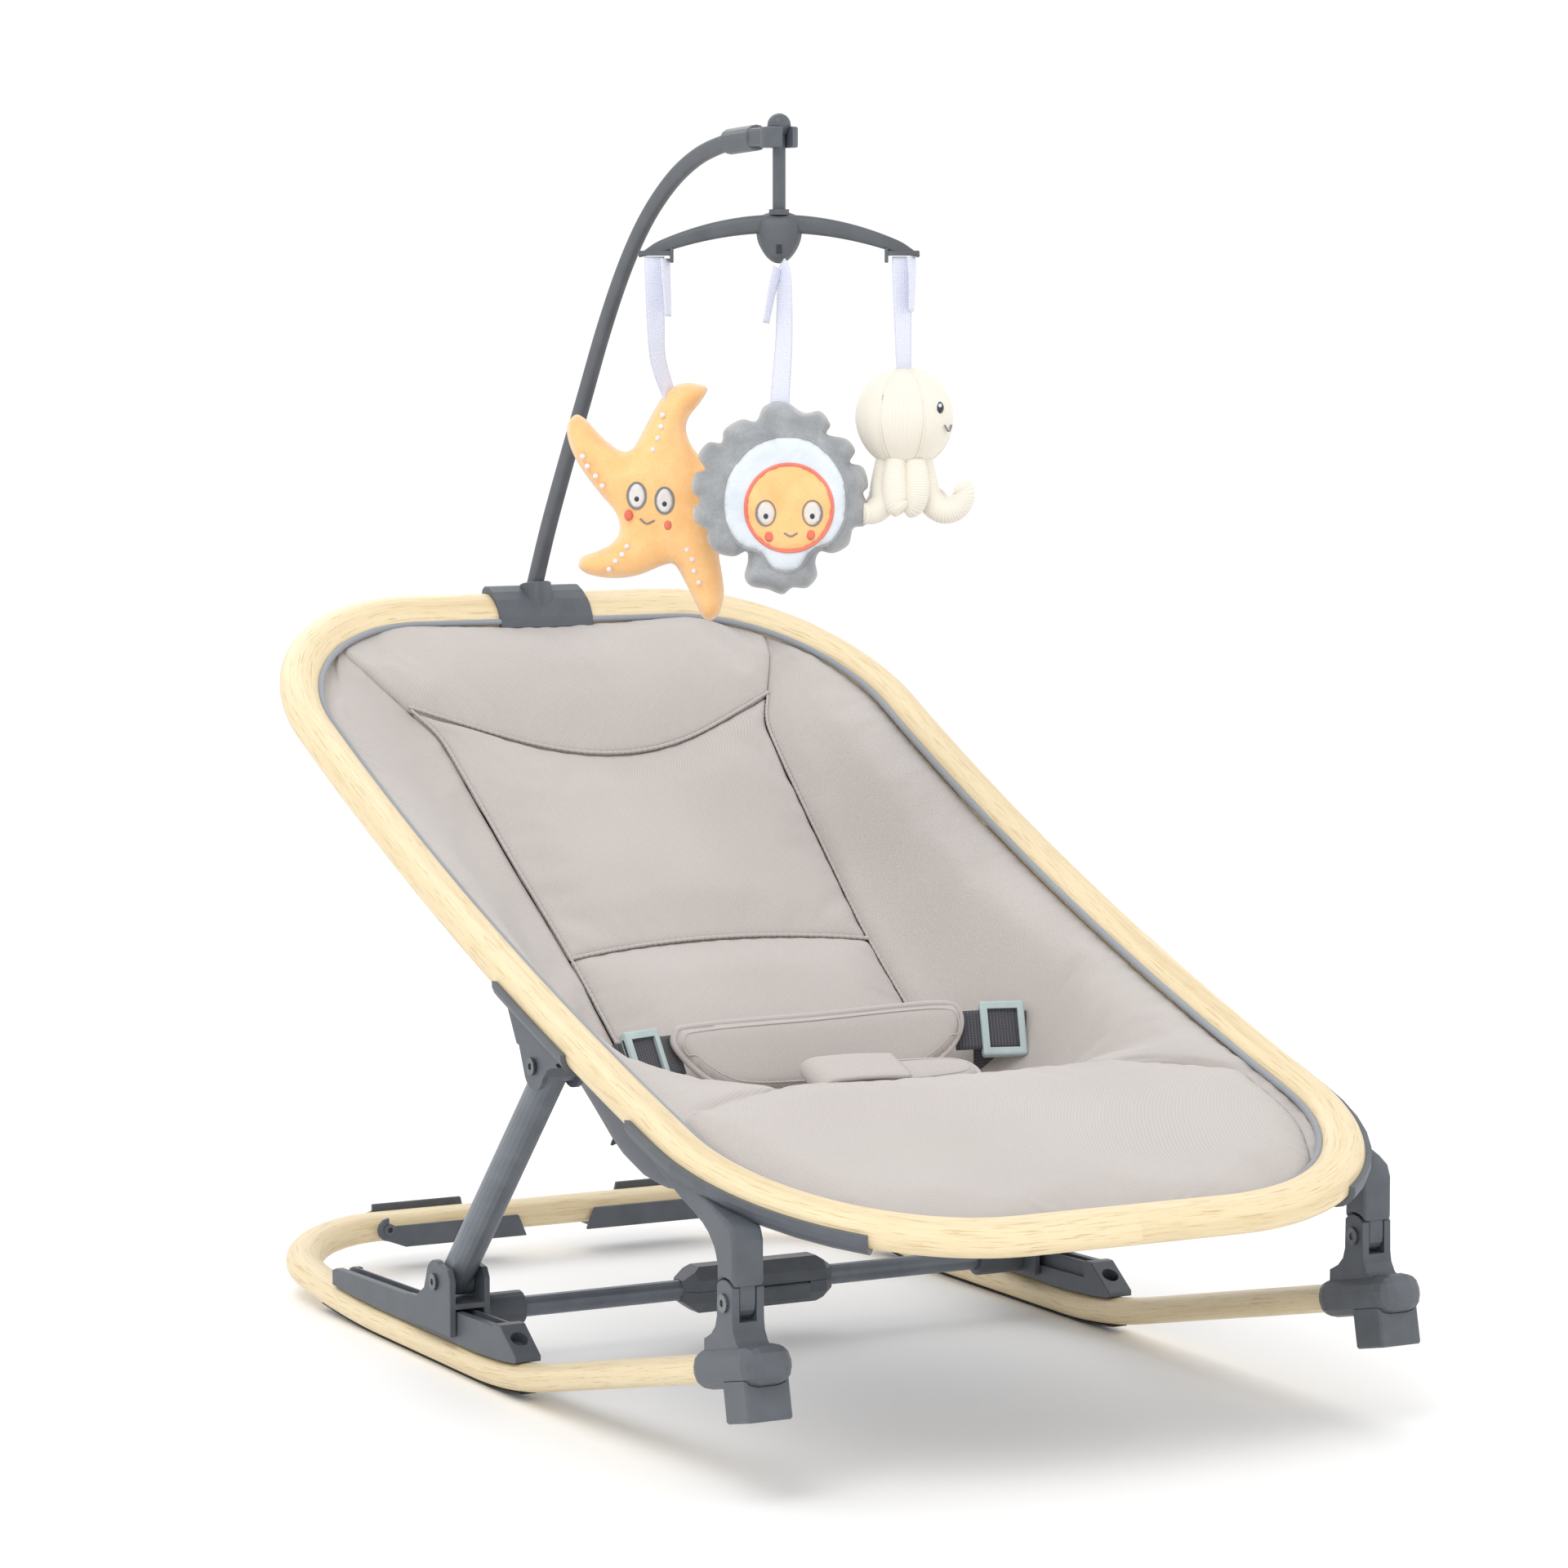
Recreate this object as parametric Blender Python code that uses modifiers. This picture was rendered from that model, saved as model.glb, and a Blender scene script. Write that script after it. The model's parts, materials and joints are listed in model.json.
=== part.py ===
"""Baby bouncer seat: a bent-wood ring seat on bent-wood rockers, with props on sliding carriages and a toy bar.

Metres, +Z up. The origin is on the floor under the middle of the object. The foot end faces -Y,
left is -X. Left and right pieces are built by the same functions with side = -1 and side = +1.
"""

import math

import bmesh
import bpy
from mathutils import Matrix, Vector

# Driving dimensions.
GAP = 0.0003                      # between pieces that touch
RAIL_X = 0.204                    # rockers, rails, props and carriages lie this far from the middle
LEG_X = 0.2035

RING_FRONT_Y, RING_BACK_Y = -0.3775, 0.374
RING_FRONT_HALF, RING_BACK_HALF = 0.206, 0.212
RING_FRONT_R, RING_BACK_R = 0.140, 0.1185
RING_A, RING_B = 0.0125, 0.00925  # half width and half thickness of the ring's wood
WOOD_ROUND = 2.3                  # exponent of the wood's rounded section

HOOP_FRONT_Y, HOOP_BACK_Y, HOOP_R = -0.322, 0.363, 0.080
HOOP_A, HOOP_B = 0.0120, 0.0085
GRIP = 0.0012                     # thickness of the grip strips under the rockers
FLAT_FRONT_Y, FLAT_BACK_Y = 0.018, 0.158   # the rockers rest on this stretch
BEND_LENGTH, FRONT_SLOPE, BACK_RADIUS = 0.092, 0.22, 1.08

HINGE = Vector((0, -0.310, 0.1075))        # leg hinge, side view
KNEE = Vector((0, -0.080, 0.2045))         # prop's hinge under the ring
CLEVIS_R, CLEVIS_HALF = 0.0125, 0.0090     # rounded top and half width of the clevis at the leg hinge
SLIDER = Vector((0, 0.062, 0.0540))        # prop's hinge in the carriage
CROSS_BAR = Vector((0, 0.063, 0.0330))     # bar between the carriages
RAIL_TOP, RAIL_SLOPE = 0.0398, -0.0297     # height of a rail's top at y = 0, and its slope
RAIL_FRONT_Y, RAIL_BACK_Y, RAIL_WIDTH = -0.042, 0.233, 0.017
PROP_R = 0.0100
BOLT_R = 0.0030

BUCKET_CREST_Y, BUCKET_ROOT_Y, BUCKET_HEAD_Y = -0.187, -0.042, 0.318
BUCKET_DEPTH = 0.108
PAD = 0.013                       # thickness of the padded liner
MOBILE_Y, MOBILE_TURN = 0.0284, math.radians(-28)

COLOURS = {
    "wood": ((0.72, 0.58, 0.37), 0.5, 0.0),
    "grey_plastic": ((0.115, 0.13, 0.145), 0.45, 0.0),
    "grey_paint": ((0.13, 0.145, 0.165), 0.35, 0.5),
    "grip_rubber": ((0.03, 0.03, 0.033), 0.8, 0.0),
    "steel": ((0.35, 0.36, 0.37), 0.35, 0.9),
    "liner_fabric": ((0.61, 0.57, 0.555), 0.9, 0.0),
    "sling_fabric": ((0.34, 0.35, 0.37), 0.9, 0.0),
    "webbing": ((0.09, 0.09, 0.1), 0.85, 0.0),
    "pale_plastic": ((0.42, 0.5, 0.5), 0.4, 0.0),
    "ribbon": ((0.78, 0.8, 0.9), 0.8, 0.0),
    "orange_plush": ((0.95, 0.57, 0.25), 0.95, 0.0),
    "grey_plush": ((0.33, 0.34, 0.35), 0.95, 0.0),
    "cream_knit": ((0.87, 0.84, 0.76), 0.95, 0.0),
}


# ---------------------------------------------------------------- scene helpers
def clear_scene():
    for obj in list(bpy.data.objects):
        bpy.data.objects.remove(obj)


def new_collection(name):
    collection = bpy.data.collections.new(name)
    bpy.context.scene.collection.children.link(collection)
    return collection


def make_materials():
    for name, (colour, roughness, metallic) in COLOURS.items():
        material = bpy.data.materials.new(name)
        material.use_nodes = True
        shader = material.node_tree.nodes["Principled BSDF"]
        shader.inputs["Base Color"].default_value = (*colour, 1)
        shader.inputs["Roughness"].default_value = roughness
        shader.inputs["Metallic"].default_value = metallic


clear_scene()
PARTS = new_collection("bouncer_seat")
CUTTERS = new_collection("cutters")
CUTTERS.hide_render = True
make_materials()


def keep(obj, material):
    """Puts a piece in the object's collection with its material."""
    for collection in list(obj.users_collection):
        collection.objects.unlink(obj)
    PARTS.objects.link(obj)
    obj.data.materials.clear()
    obj.data.materials.append(bpy.data.materials[material])
    obj.data.shade_smooth()
    obj.data.set_sharp_from_angle(angle=math.radians(35))
    return obj


def helper(obj):
    """Puts a shape that only cuts or joins others among the cutters."""
    for collection in list(obj.users_collection):
        collection.objects.unlink(obj)
    CUTTERS.objects.link(obj)
    obj.hide_render = True
    obj.display_type = "WIRE"
    return obj


def boolean(obj, other, operation):
    helper(other)
    modifier = obj.modifiers.new(operation.lower(), "BOOLEAN")
    modifier.operation = operation
    modifier.solver = "EXACT"
    modifier.object = other
    return obj


def cut(obj, *others):
    for other in others:
        boolean(obj, other, "DIFFERENCE")
    return obj


def fuse(obj, *others):
    for other in others:
        boolean(obj, other, "UNION")
    return obj


def from_bmesh(name, mesh):
    data = bpy.data.meshes.new(name)
    mesh.to_mesh(data)
    mesh.free()
    obj = bpy.data.objects.new(name, data)
    PARTS.objects.link(obj)
    return obj


def bevel(obj, width, segments=2, angle=30):
    if width:
        modifier = obj.modifiers.new("bevel", "BEVEL")
        modifier.width = width
        modifier.segments = segments
        modifier.angle_limit = math.radians(angle)
    return obj


def box(name, size, at, round_by=0.0, turn=None, segments=2):
    """A box of the given size centred at a point, turned by a rotation matrix."""
    mesh = bmesh.new()
    bmesh.ops.create_cube(mesh, size=1, matrix=Matrix.Diagonal((*size, 1)))
    obj = from_bmesh(name, mesh)
    obj.matrix_world = Matrix.Translation(at) @ (turn or Matrix())
    return bevel(obj, round_by, segments)


def rod(name, radius, start, end, sides=16, round_by=0.0, end_radius=None):
    """A cylinder or cone between two points."""
    start, end = Vector(start), Vector(end)
    mesh = bmesh.new()
    bmesh.ops.create_cone(mesh, cap_ends=True, segments=sides, radius1=radius,
                          radius2=radius if end_radius is None else end_radius,
                          depth=(end - start).length)
    obj = from_bmesh(name, mesh)
    turn = (end - start).to_track_quat("Z", "Y").to_matrix().to_4x4()
    obj.matrix_world = Matrix.Translation((start + end) / 2) @ turn
    return bevel(obj, round_by, 2, 40)


def ball(name, radii, at, segments=16, rings=10):
    mesh = bmesh.new()
    bmesh.ops.create_uvsphere(mesh, u_segments=segments, v_segments=rings, radius=1,
                              matrix=Matrix.Diagonal((*radii, 1)))
    obj = from_bmesh(name, mesh)
    obj.location = at
    return obj


def curve(name, points, cyclic=False, dimensions="3D"):
    data = bpy.data.curves.new(name, "CURVE")
    data.dimensions = dimensions
    spline = data.splines.new("POLY")
    spline.points.add(len(points) - 1)
    for point, co in zip(spline.points, points):
        point.co = (*co, 1)
    spline.use_cyclic_u = cyclic
    obj = bpy.data.objects.new(name, data)
    PARTS.objects.link(obj)
    return obj


def as_mesh(obj):
    """A mesh object with the curve's evaluated shape, its caps welded, in the curve's place."""
    bpy.context.view_layer.update()
    graph = bpy.context.evaluated_depsgraph_get()
    data = bpy.data.meshes.new_from_object(obj.evaluated_get(graph))
    mesh = bmesh.new()
    mesh.from_mesh(data)
    bmesh.ops.remove_doubles(mesh, verts=mesh.verts, dist=1e-6)
    bmesh.ops.recalc_face_normals(mesh, faces=mesh.faces)
    mesh.to_mesh(data)
    mesh.free()
    name = obj.name
    made = bpy.data.objects.new(name, data)
    made.matrix_world = obj.matrix_world
    bpy.data.objects.remove(obj)
    made.name = name
    PARTS.objects.link(made)
    return made


def slab(name, outline, thickness, matrix, round_by=0.0, segments=2):
    """A flat outline with a thickness. The outline's plane is the matrix's XY plane, centred on it."""
    obj = curve(name, [(a, b, 0) for a, b in outline], cyclic=True, dimensions="2D")
    obj.data.fill_mode = "BOTH"
    obj.data.extrude = thickness / 2
    obj = as_mesh(obj)
    obj.matrix_world = matrix
    return bevel(obj, round_by, segments)


def side_view(x):
    """The matrix that lays an outline of (y, z) points in the plane at x."""
    return Matrix(((0, 0, 1, x), (1, 0, 0, 0), (0, 1, 0, 0), (0, 0, 0, 1)))


def sweep(name, path, profile, cyclic=False):
    """A closed profile swept along a flat path. The profile's points are (across, up)."""
    shape = curve(name + "_profile", [(a, b, 0) for a, b in profile], cyclic=True, dimensions="2D")
    obj = curve(name, [(x, y, 0) for x, y in path], cyclic=cyclic)
    obj.data.twist_mode = "Z_UP"
    obj.data.bevel_mode = "OBJECT"
    obj.data.bevel_object = shape
    obj.data.use_fill_caps = not cyclic
    obj = as_mesh(obj)
    bpy.data.objects.remove(shape)
    return obj


def lift(obj, height):
    """Raises each point of a flat-lying mesh by height(y)."""
    for vertex in obj.data.vertices:
        vertex.co.z += height(vertex.co.y)
    return obj


def arc(centre, radius, start, end, steps, squash=1.0):
    """Points on an arc in a plane, angles in degrees."""
    points = []
    for step in range(steps + 1):
        angle = math.radians(start + (end - start) * step / steps)
        points.append((centre[0] + radius * math.cos(angle),
                       centre[1] + radius * squash * math.sin(angle)))
    return points


def wood_section(half_width, half_height, sides=14):
    points = []
    for step in range(sides):
        c, s = math.cos(2 * math.pi * step / sides), math.sin(2 * math.pi * step / sides)
        points.append((half_width * math.copysign(abs(c) ** (2 / WOOD_ROUND), c),
                       half_height * math.copysign(abs(s) ** (2 / WOOD_ROUND), s)))
    return points


def cradle_section(half_width, half_height, wall, outer_top, inner_top, steps=9):
    """A U round the underside of the wood, from one side's top angle round to the other's."""
    ends = (outer_top, -180 - inner_top)
    inside = arc((0, 0), 1, *ends, steps)
    near = [((half_width - 0.003) * c, (half_height - 0.003) * s) for c, s in inside]
    far = [((half_width + wall) * c, (half_height + wall) * s) for c, s in inside]
    return near + far[::-1]


# ---------------------------------------------------------------- wood
def ring_height(y):
    """Height of the ring's centre line above the floor: about 18 degrees of slope rising to 25."""
    return 0.2623 + 0.3814 * y + 0.1945 * y ** 2 + 0.0691 * y ** 3


def rocker_height(y):
    """Height of the rockers' centre line: flat where they rest, curving up to both ends."""
    base = GRIP + GAP + HOOP_B
    if y > FLAT_BACK_Y:
        return base + (y - FLAT_BACK_Y) ** 2 / (2 * BACK_RADIUS)
    ahead = max(0.0, FLAT_FRONT_Y - y)
    if ahead < BEND_LENGTH:
        return base + FRONT_SLOPE * ahead ** 2 / (2 * BEND_LENGTH)
    return base + FRONT_SLOPE * (ahead - BEND_LENGTH / 2)


def ring_side_half(y):
    """Half width of the ring's centre line on its long sides."""
    start, end = RING_FRONT_Y + RING_FRONT_R, RING_BACK_Y - RING_BACK_R
    share = min(1.0, max(0.0, (y - start) / (end - start)))
    return RING_FRONT_HALF + (RING_BACK_HALF - RING_FRONT_HALF) * share


def ring_half_path(corner=10, side=7):
    """Right half of the ring's centre line in plan, from front middle to back middle."""
    path = [(0, RING_FRONT_Y)]
    path += arc((RING_FRONT_HALF - RING_FRONT_R, RING_FRONT_Y + RING_FRONT_R),
                RING_FRONT_R, -90, 0, corner)
    start, end = RING_FRONT_Y + RING_FRONT_R, RING_BACK_Y - RING_BACK_R
    for step in range(1, side):
        y = start + (end - start) * step / side
        path.append((ring_side_half(y), y))
    path += arc((RING_BACK_HALF - RING_BACK_R, RING_BACK_Y - RING_BACK_R),
                RING_BACK_R, 0, 90, corner)
    return path + [(0, RING_BACK_Y)]


def ring_path():
    half = ring_half_path()
    return half + [(-x, y) for x, y in half[-2:0:-1]]


def ring_solid(name, grow=0.0, sides=14):
    ring = sweep(name, ring_path(), wood_section(RING_A + grow, RING_B + grow, sides), cyclic=True)
    return lift(ring, ring_height)


def hoop_path(corner=9):
    """The base's centre line in plan: left rocker, back cross run, right rocker."""
    left = [(-RAIL_X, HOOP_FRONT_Y)]
    ys = [-0.29, -0.2, -0.11, -0.074, -0.05, -0.027, 0.0, 0.018, 0.088, 0.158, 0.2, 0.233, 0.26]
    left += [(-RAIL_X, y) for y in ys]
    left += arc((-RAIL_X + HOOP_R, HOOP_BACK_Y - HOOP_R), HOOP_R, 180, 90, corner)
    return left + [(-x, y) for x, y in left[::-1]]


def hoop_solid(name, grow=0.0):
    return lift(sweep(name, hoop_path(), wood_section(HOOP_A + grow, HOOP_B + grow, 12)), rocker_height)


def side_path(side, y_start, y_end, steps):
    return [(side * ring_side_half(y_start + (y_end - y_start) * i / steps),
             y_start + (y_end - y_start) * i / steps) for i in range(steps + 1)]


# ---------------------------------------------------------------- base
def foot_turn():
    return Matrix.Rotation(-math.atan(FRONT_SLOPE), 4, "X")


def front_foot(name, side):
    """Cap on the rocker's end with the lower leg, a clevis whose cheeks hold the seat's leg."""
    x = side * LEG_X
    centre = Vector((x, -0.312, rocker_height(-0.312)))
    foot = box(name, (0.030, 0.072, 0.0225), centre, 0.0095, foot_turn(), 3)
    front, back = HINGE.y - CLEVIS_HALF, HINGE.y + CLEVIS_HALF
    cheek = arc(HINGE.yz, CLEVIS_R, 46, 134, 6)
    flare = [(front, 0.0990), (front - 0.0012, 0.0930), (front - 0.0045, 0.0880), (front - 0.0110, 0.0840),
             (front - 0.0110, 0.0760), (back + 0.0150, 0.0760), (back + 0.0150, 0.0840),
             (back + 0.0070, 0.0880), (back + 0.0020, 0.0930), (back, 0.0990)]
    leg = slab(name + "_leg", cheek + flare, 0.0195, side_view(x), 0.0035, 3)
    slot = box(name + "_slot", (0.0106, 0.03, 0.0410), (x, HINGE.y, HINGE.z + 0.0110))
    bore = rod(name + "_bore", BOLT_R + GAP, (x - 0.02, *HINGE.yz), (x + 0.02, *HINGE.yz), 12)
    socket = hoop_solid(name + "_socket", 2 * GAP)
    return keep(cut(fuse(foot, leg), slot, bore, socket), "grey_plastic")


def foot_block(name, side):
    """Square block under the cap, cut to the cap's round underside."""
    y = -0.3295
    z = rocker_height(y) - 0.0172
    block = box(name, (0.027, 0.027, 0.026), (side * LEG_X, y, z), 0.0012, foot_turn(), 1)
    centre = Vector((side * LEG_X, -0.312, rocker_height(-0.312)))
    cap = box(name + "_cap", (0.0306, 0.0726, 0.0231), centre, 0.0095, foot_turn(), 3)
    return keep(cut(block, cap), "grey_plastic")


def grip_strip(name, side):
    """Thin strip under the flat stretch of a rocker, where it meets the floor."""
    length = 0.300
    y = (FLAT_FRONT_Y + FLAT_BACK_Y) / 2 + 0.020
    ys = [y - length / 2 + length * i / 14 for i in range(15)]
    top = [(v, rocker_height(v) - HOOP_B - GAP) for v in ys]
    outline = top + [(v, z - GRIP) for v, z in top[::-1]]
    return keep(slab(name, outline, 0.010, side_view(side * RAIL_X)), "grip_rubber")


def rail_top(y):
    return RAIL_TOP + RAIL_SLOPE * y


def slide_rail(name, side):
    """Rail on the rocker that the carriage runs on, with a raised block at its front end."""
    x = side * RAIL_X
    bottom = [(y, rocker_height(y) + HOOP_B + GAP)
              for y in (RAIL_FRONT_Y, -0.02, FLAT_FRONT_Y, FLAT_BACK_Y, 0.2, RAIL_BACK_Y)]
    top = [(RAIL_BACK_Y, rail_top(RAIL_BACK_Y) - 0.002), (RAIL_BACK_Y - 0.006, rail_top(RAIL_BACK_Y)),
           (-0.011, rail_top(-0.011)), (-0.013, 0.0418), (-0.020, 0.0418), (RAIL_FRONT_Y, 0.0265)]
    rail = slab(name, bottom + top, RAIL_WIDTH, side_view(x), 0.0006, 1)
    channel = box(name + "_channel", (0.007, 0.262, 0.006), (x, 0.124, rail_top(0.124)),
                  turn=Matrix.Rotation(math.atan(RAIL_SLOPE), 4, "X"))
    dimple = rod(name + "_dimple", 0.0055, (x, -0.034, 0.0405), (x, -0.026, 0.029), 16)
    groove = box(name + "_groove", (0.007, 0.235, 0.0092), (x - side * (RAIL_WIDTH / 2), 0.1055, 0.0321),
                 turn=Matrix.Rotation(math.atan(RAIL_SLOPE), 4, "X"))
    return keep(cut(rail, channel, dimple, groove), "grey_plastic")


def bolt(name, x_outer, x_inner, at, head=0.0052):
    """A bolt along X through a hinge, with a low round head on its outer end."""
    step = 0.0014 if x_outer > x_inner else -0.0014
    shaft = rod(name, BOLT_R, (x_inner, *at.yz), (x_outer + step / 5, *at.yz), 12)
    cap = rod(name + "_head", head, (x_outer, *at.yz), (x_outer + step, *at.yz), 12)
    socket = rod(name + "_socket", 0.0022, (x_outer + step / 3, *at.yz), (x_outer + 2 * step, *at.yz), 6)
    return keep(cut(fuse(shaft, cap), socket), "steel")


# ---------------------------------------------------------------- stop legs on the back cross run
STOP_PIVOT_X, STOP_END_X = 0.123, 0.0225


def stop_pivot():
    return Vector((0, HOOP_BACK_Y, rocker_height(HOOP_BACK_Y)))


def stop_leg(name, side):
    """Channel that clips up round the back cross run and swings down to stop the rocking."""
    pivot = stop_pivot()
    pivot.x = side * STOP_PIVOT_X
    reach = STOP_PIVOT_X - STOP_END_X
    clear = HOOP_A + 0.0008
    wall = 0.0028
    low = -HOOP_B - 0.0040

    def cheek(tag, top, y_side, end):
        outline = arc((0, 0), 0.0080, 90, 270, 6) + [(0.012, low), (end, low), (end - 0.006, top), (0.0, top)]
        outline = [(side * -a, b) for a, b in outline]
        flat = Matrix(((1, 0, 0, 0), (0, 0, -1, 0), (0, 1, 0, 0), (0, 0, 0, 1)))
        at = pivot + Vector((0, y_side * (clear + wall / 2), 0))
        return slab(name + tag, outline, wall, Matrix.Translation(at) @ flat, 0.0005, 1)

    leg = cheek("", 0.0020, -1, reach)
    leg.name = name
    back = cheek("_back", 0.0125, 1, reach - 0.030)
    web = box(name + "_web", (reach - 0.020, 2 * clear + wall, 0.0026),
              pivot + Vector((-side * (reach + 0.004) / 2, 0, low + 0.0013)))
    pin = rod(name + "_pin", 0.0040, pivot + Vector((0, -clear - wall - 0.0012, 0)),
              pivot + Vector((0, -clear, 0)), 14)
    socket = rod(name + "_hex", 0.0020, pivot + Vector((0, -clear - wall - 0.003, 0)),
                 pivot + Vector((0, -clear - wall + 0.001, 0)), 6)
    return keep(cut(fuse(leg, back, web, pin), socket), "grey_plastic")


# ---------------------------------------------------------------- seat brackets
def leg_bracket(name, side):
    """Upper leg: a tongue in the foot's clevis, sweeping up and back into a cradle under the ring."""
    x = side * LEG_X
    front, back = HINGE.y - CLEVIS_HALF - 0.0005, HINGE.y + CLEVIS_HALF + 0.0005
    seat = arc(HINGE.yz, CLEVIS_R + 0.0009, 137, 43, 6)
    neck_outline = [(-0.2180, 0.1840), (-0.2500, 0.1730), (-0.2900, 0.1590), (-0.3085, 0.1530),
                    (-0.3165, 0.1490), (-0.3195, 0.1420), (front, 0.1320)] + seat
    neck_outline += [(back, 0.1260), (-0.2985, 0.1315), (-0.2955, 0.1365), (-0.2905, 0.1415), (-0.2830, 0.1460),
                     (-0.2720, 0.1505), (-0.2600, 0.1545), (-0.2450, 0.1605), (-0.2300, 0.1670), (-0.2150, 0.1735)]
    neck = slab(name, neck_outline, 0.0190, side_view(x), 0.0040, 3)
    tongue_outline = arc(HINGE.yz, 0.0086, 180, 360, 8) + [(HINGE.y + 0.0086, 0.130), (HINGE.y - 0.0086, 0.130)]
    tongue = slab(name + "_tongue", tongue_outline, 0.0100, side_view(x), 0.0008, 1)
    centre = (side * (RING_FRONT_HALF - RING_FRONT_R), RING_FRONT_Y + RING_FRONT_R)
    path = arc((abs(centre[0]), centre[1]), RING_FRONT_R, -55, 0, 7)
    path += side_path(1, -0.2300, -0.2080, 1)
    path = [(side * a, b) for a, b in path]
    section = cradle_section(RING_A, RING_B, 0.0038, 8, -45)
    section = [(-a if side < 0 else a, b) for a, b in section]
    cradle = lift(sweep(name + "_cradle", path, section), ring_height)
    bore = rod(name + "_bore", BOLT_R + GAP, (x - 0.02, *HINGE.yz), (x + 0.02, *HINGE.yz), 12)
    ring = ring_solid(name + "_ring", GAP * 1.5, 14)
    return keep(cut(fuse(neck, tongue, cradle), ring, bore), "grey_plastic")


def prop_bracket(name, side):
    """Cradle under the ring with two ears for the prop's hinge."""
    x = side * RAIL_X
    path = side_path(side, -0.128, -0.038, 3)
    section = cradle_section(RING_A, RING_B, 0.0036, 6, -45)
    section = [(-a if side < 0 else a, b) for a, b in section]
    cradle = lift(sweep(name, path, section), ring_height)
    web_outline = (arc(KNEE.yz, 0.0140, 200, 345, 8)
                   + [(-0.0570, 0.2215), (-0.0480, 0.2300), (-0.1130, 0.2080), (-0.1000, 0.2060)])
    web = slab(name + "_web", web_outline, 0.0270, side_view(x))
    neck_outline = [(-0.0570, 0.2150), (-0.0400, 0.2420), (-0.1200, 0.2140), (-0.1000, 0.2050)]
    neck = slab(name + "_neck", neck_outline, 0.0200, side_view(x + side * 0.0035))
    slot = box(name + "_slot", (0.0208, 0.060, 0.040), (x, KNEE.y - 0.005, KNEE.z - 0.0085))
    bore = rod(name + "_bore", BOLT_R + GAP, (x - 0.03, *KNEE.yz), (x + 0.03, *KNEE.yz), 12)
    ring = ring_solid(name + "_ring", GAP * 1.5, 14)
    return keep(cut(fuse(cradle, web, neck), ring, slot, bore), "grey_plastic")


def toy_bar_mount(name):
    """Clamp round the head rail with an oval collar that the toy bar plugs into."""
    path = [(x / 100, RING_BACK_Y) for x in (-3.4, -1.7, 0, 1.7, 3.4)]
    outer = wood_section(RING_A + 0.0042, RING_B + 0.0042, 16)
    clamp = lift(sweep(name, path, outer), ring_height)
    bevel(clamp, 0.0015, 1)
    centre = Vector((0, RING_BACK_Y, ring_height(RING_BACK_Y)))
    base, up = toy_bar_base()
    collar = rod(name + "_collar", 0.0125, centre, base + up * 0.0050, 20, 0.001, 0.0115)
    collar.scale.x = 0.9
    ring = ring_solid(name + "_ring", GAP * 1.5, 14)
    socket = box(name + "_socket", (0.0146, 0.0086, 0.030), base + up * 0.0100,
                 turn=up.to_track_quat("Z", "X").to_matrix().to_4x4())
    return keep(cut(fuse(clamp, collar), ring, socket), "grey_plastic")


# ---------------------------------------------------------------- props, carriages and release
def prop_tube(name, side):
    x = side * RAIL_X
    start = Vector((x, *KNEE.yz))
    end = Vector((x, *SLIDER.yz))
    tube = rod(name, PROP_R, start, end, 20)
    top = rod(name + "_top", PROP_R, start - Vector((PROP_R, 0, 0)), start + Vector((PROP_R, 0, 0)), 20)
    low = rod(name + "_low", PROP_R - 0.0007, end - Vector((0.0088, 0, 0)), end + Vector((0.0088, 0, 0)), 20)
    sides = [box(name + tag, (0.01, 0.04, 0.04), end + Vector((turn * (0.0088 + 0.005), 0, 0)))
             for tag, turn in (("_flat_a", -1), ("_flat_b", 1))]
    bores = [rod(name + tag, BOLT_R + GAP, at - Vector((0.03, 0, 0)), at + Vector((0.03, 0, 0)), 12)
             for tag, at in (("_bore_a", start), ("_bore_b", end))]
    return keep(cut(fuse(tube, top, low), *sides, *bores), "grey_paint")


CARRIAGE_HALF, CHEEK = 0.0133, 0.0038


def carriage(name, side):
    """Slider that straddles the rail: two cheeks, a bridge over the rail and a socket for the cross bar."""
    x = side * RAIL_X
    back_edge = SLIDER.y + 0.042
    outline = [(SLIDER.y - 0.022, 0.0236), (back_edge - 0.010, 0.0236), (back_edge, 0.0290),
               (back_edge + 0.001, 0.0395), (back_edge - 0.013, 0.0405), (SLIDER.y + 0.0165, 0.0480)]
    outline += arc(SLIDER.yz, 0.0132, 10, 120, 7)
    outline += [(SLIDER.y - 0.0185, 0.0640), (SLIDER.y - 0.022, 0.0580)]
    body = slab(name, outline, 2 * CARRIAGE_HALF, side_view(x), 0.001, 1)
    inside = 2 * (CARRIAGE_HALF - CHEEK)
    bridge_low, bridge_top = rail_top(SLIDER.y - 0.022) + 0.0016, 0.0434
    above = box(name + "_above", (inside, 0.2, 0.05), (x, SLIDER.y, bridge_top + 0.025))
    below = box(name + "_below", (inside, 0.2, 0.05), (x, SLIDER.y, bridge_low - 0.025))
    bore = rod(name + "_bore", BOLT_R + GAP, (x - 0.03, *SLIDER.yz), (x + 0.03, *SLIDER.yz), 12)
    inner = RAIL_X - CARRIAGE_HALF
    sleeve = rod(name + "_sleeve", 0.0105, (side * (inner - 0.031), *CROSS_BAR.yz),
                 (side * (inner + 0.0015), *CROSS_BAR.yz), 18, 0.0012)
    bar_bore = rod(name + "_bar_bore", 0.0065 + GAP, (side * (inner - 0.04), *CROSS_BAR.yz),
                   (side * (inner - 0.0090), *CROSS_BAR.yz), 16)
    pin_bore = rod(name + "_pin_bore", 0.0025 + GAP, (side * (inner - 0.02), *CROSS_BAR.yz),
                   (side * (inner + 0.0060), *CROSS_BAR.yz), 10)
    return keep(cut(fuse(cut(body, above, below), sleeve), bore, bar_bore, pin_bore), "grey_plastic")


BAR_HOUSING_HALF = 0.0525


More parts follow.
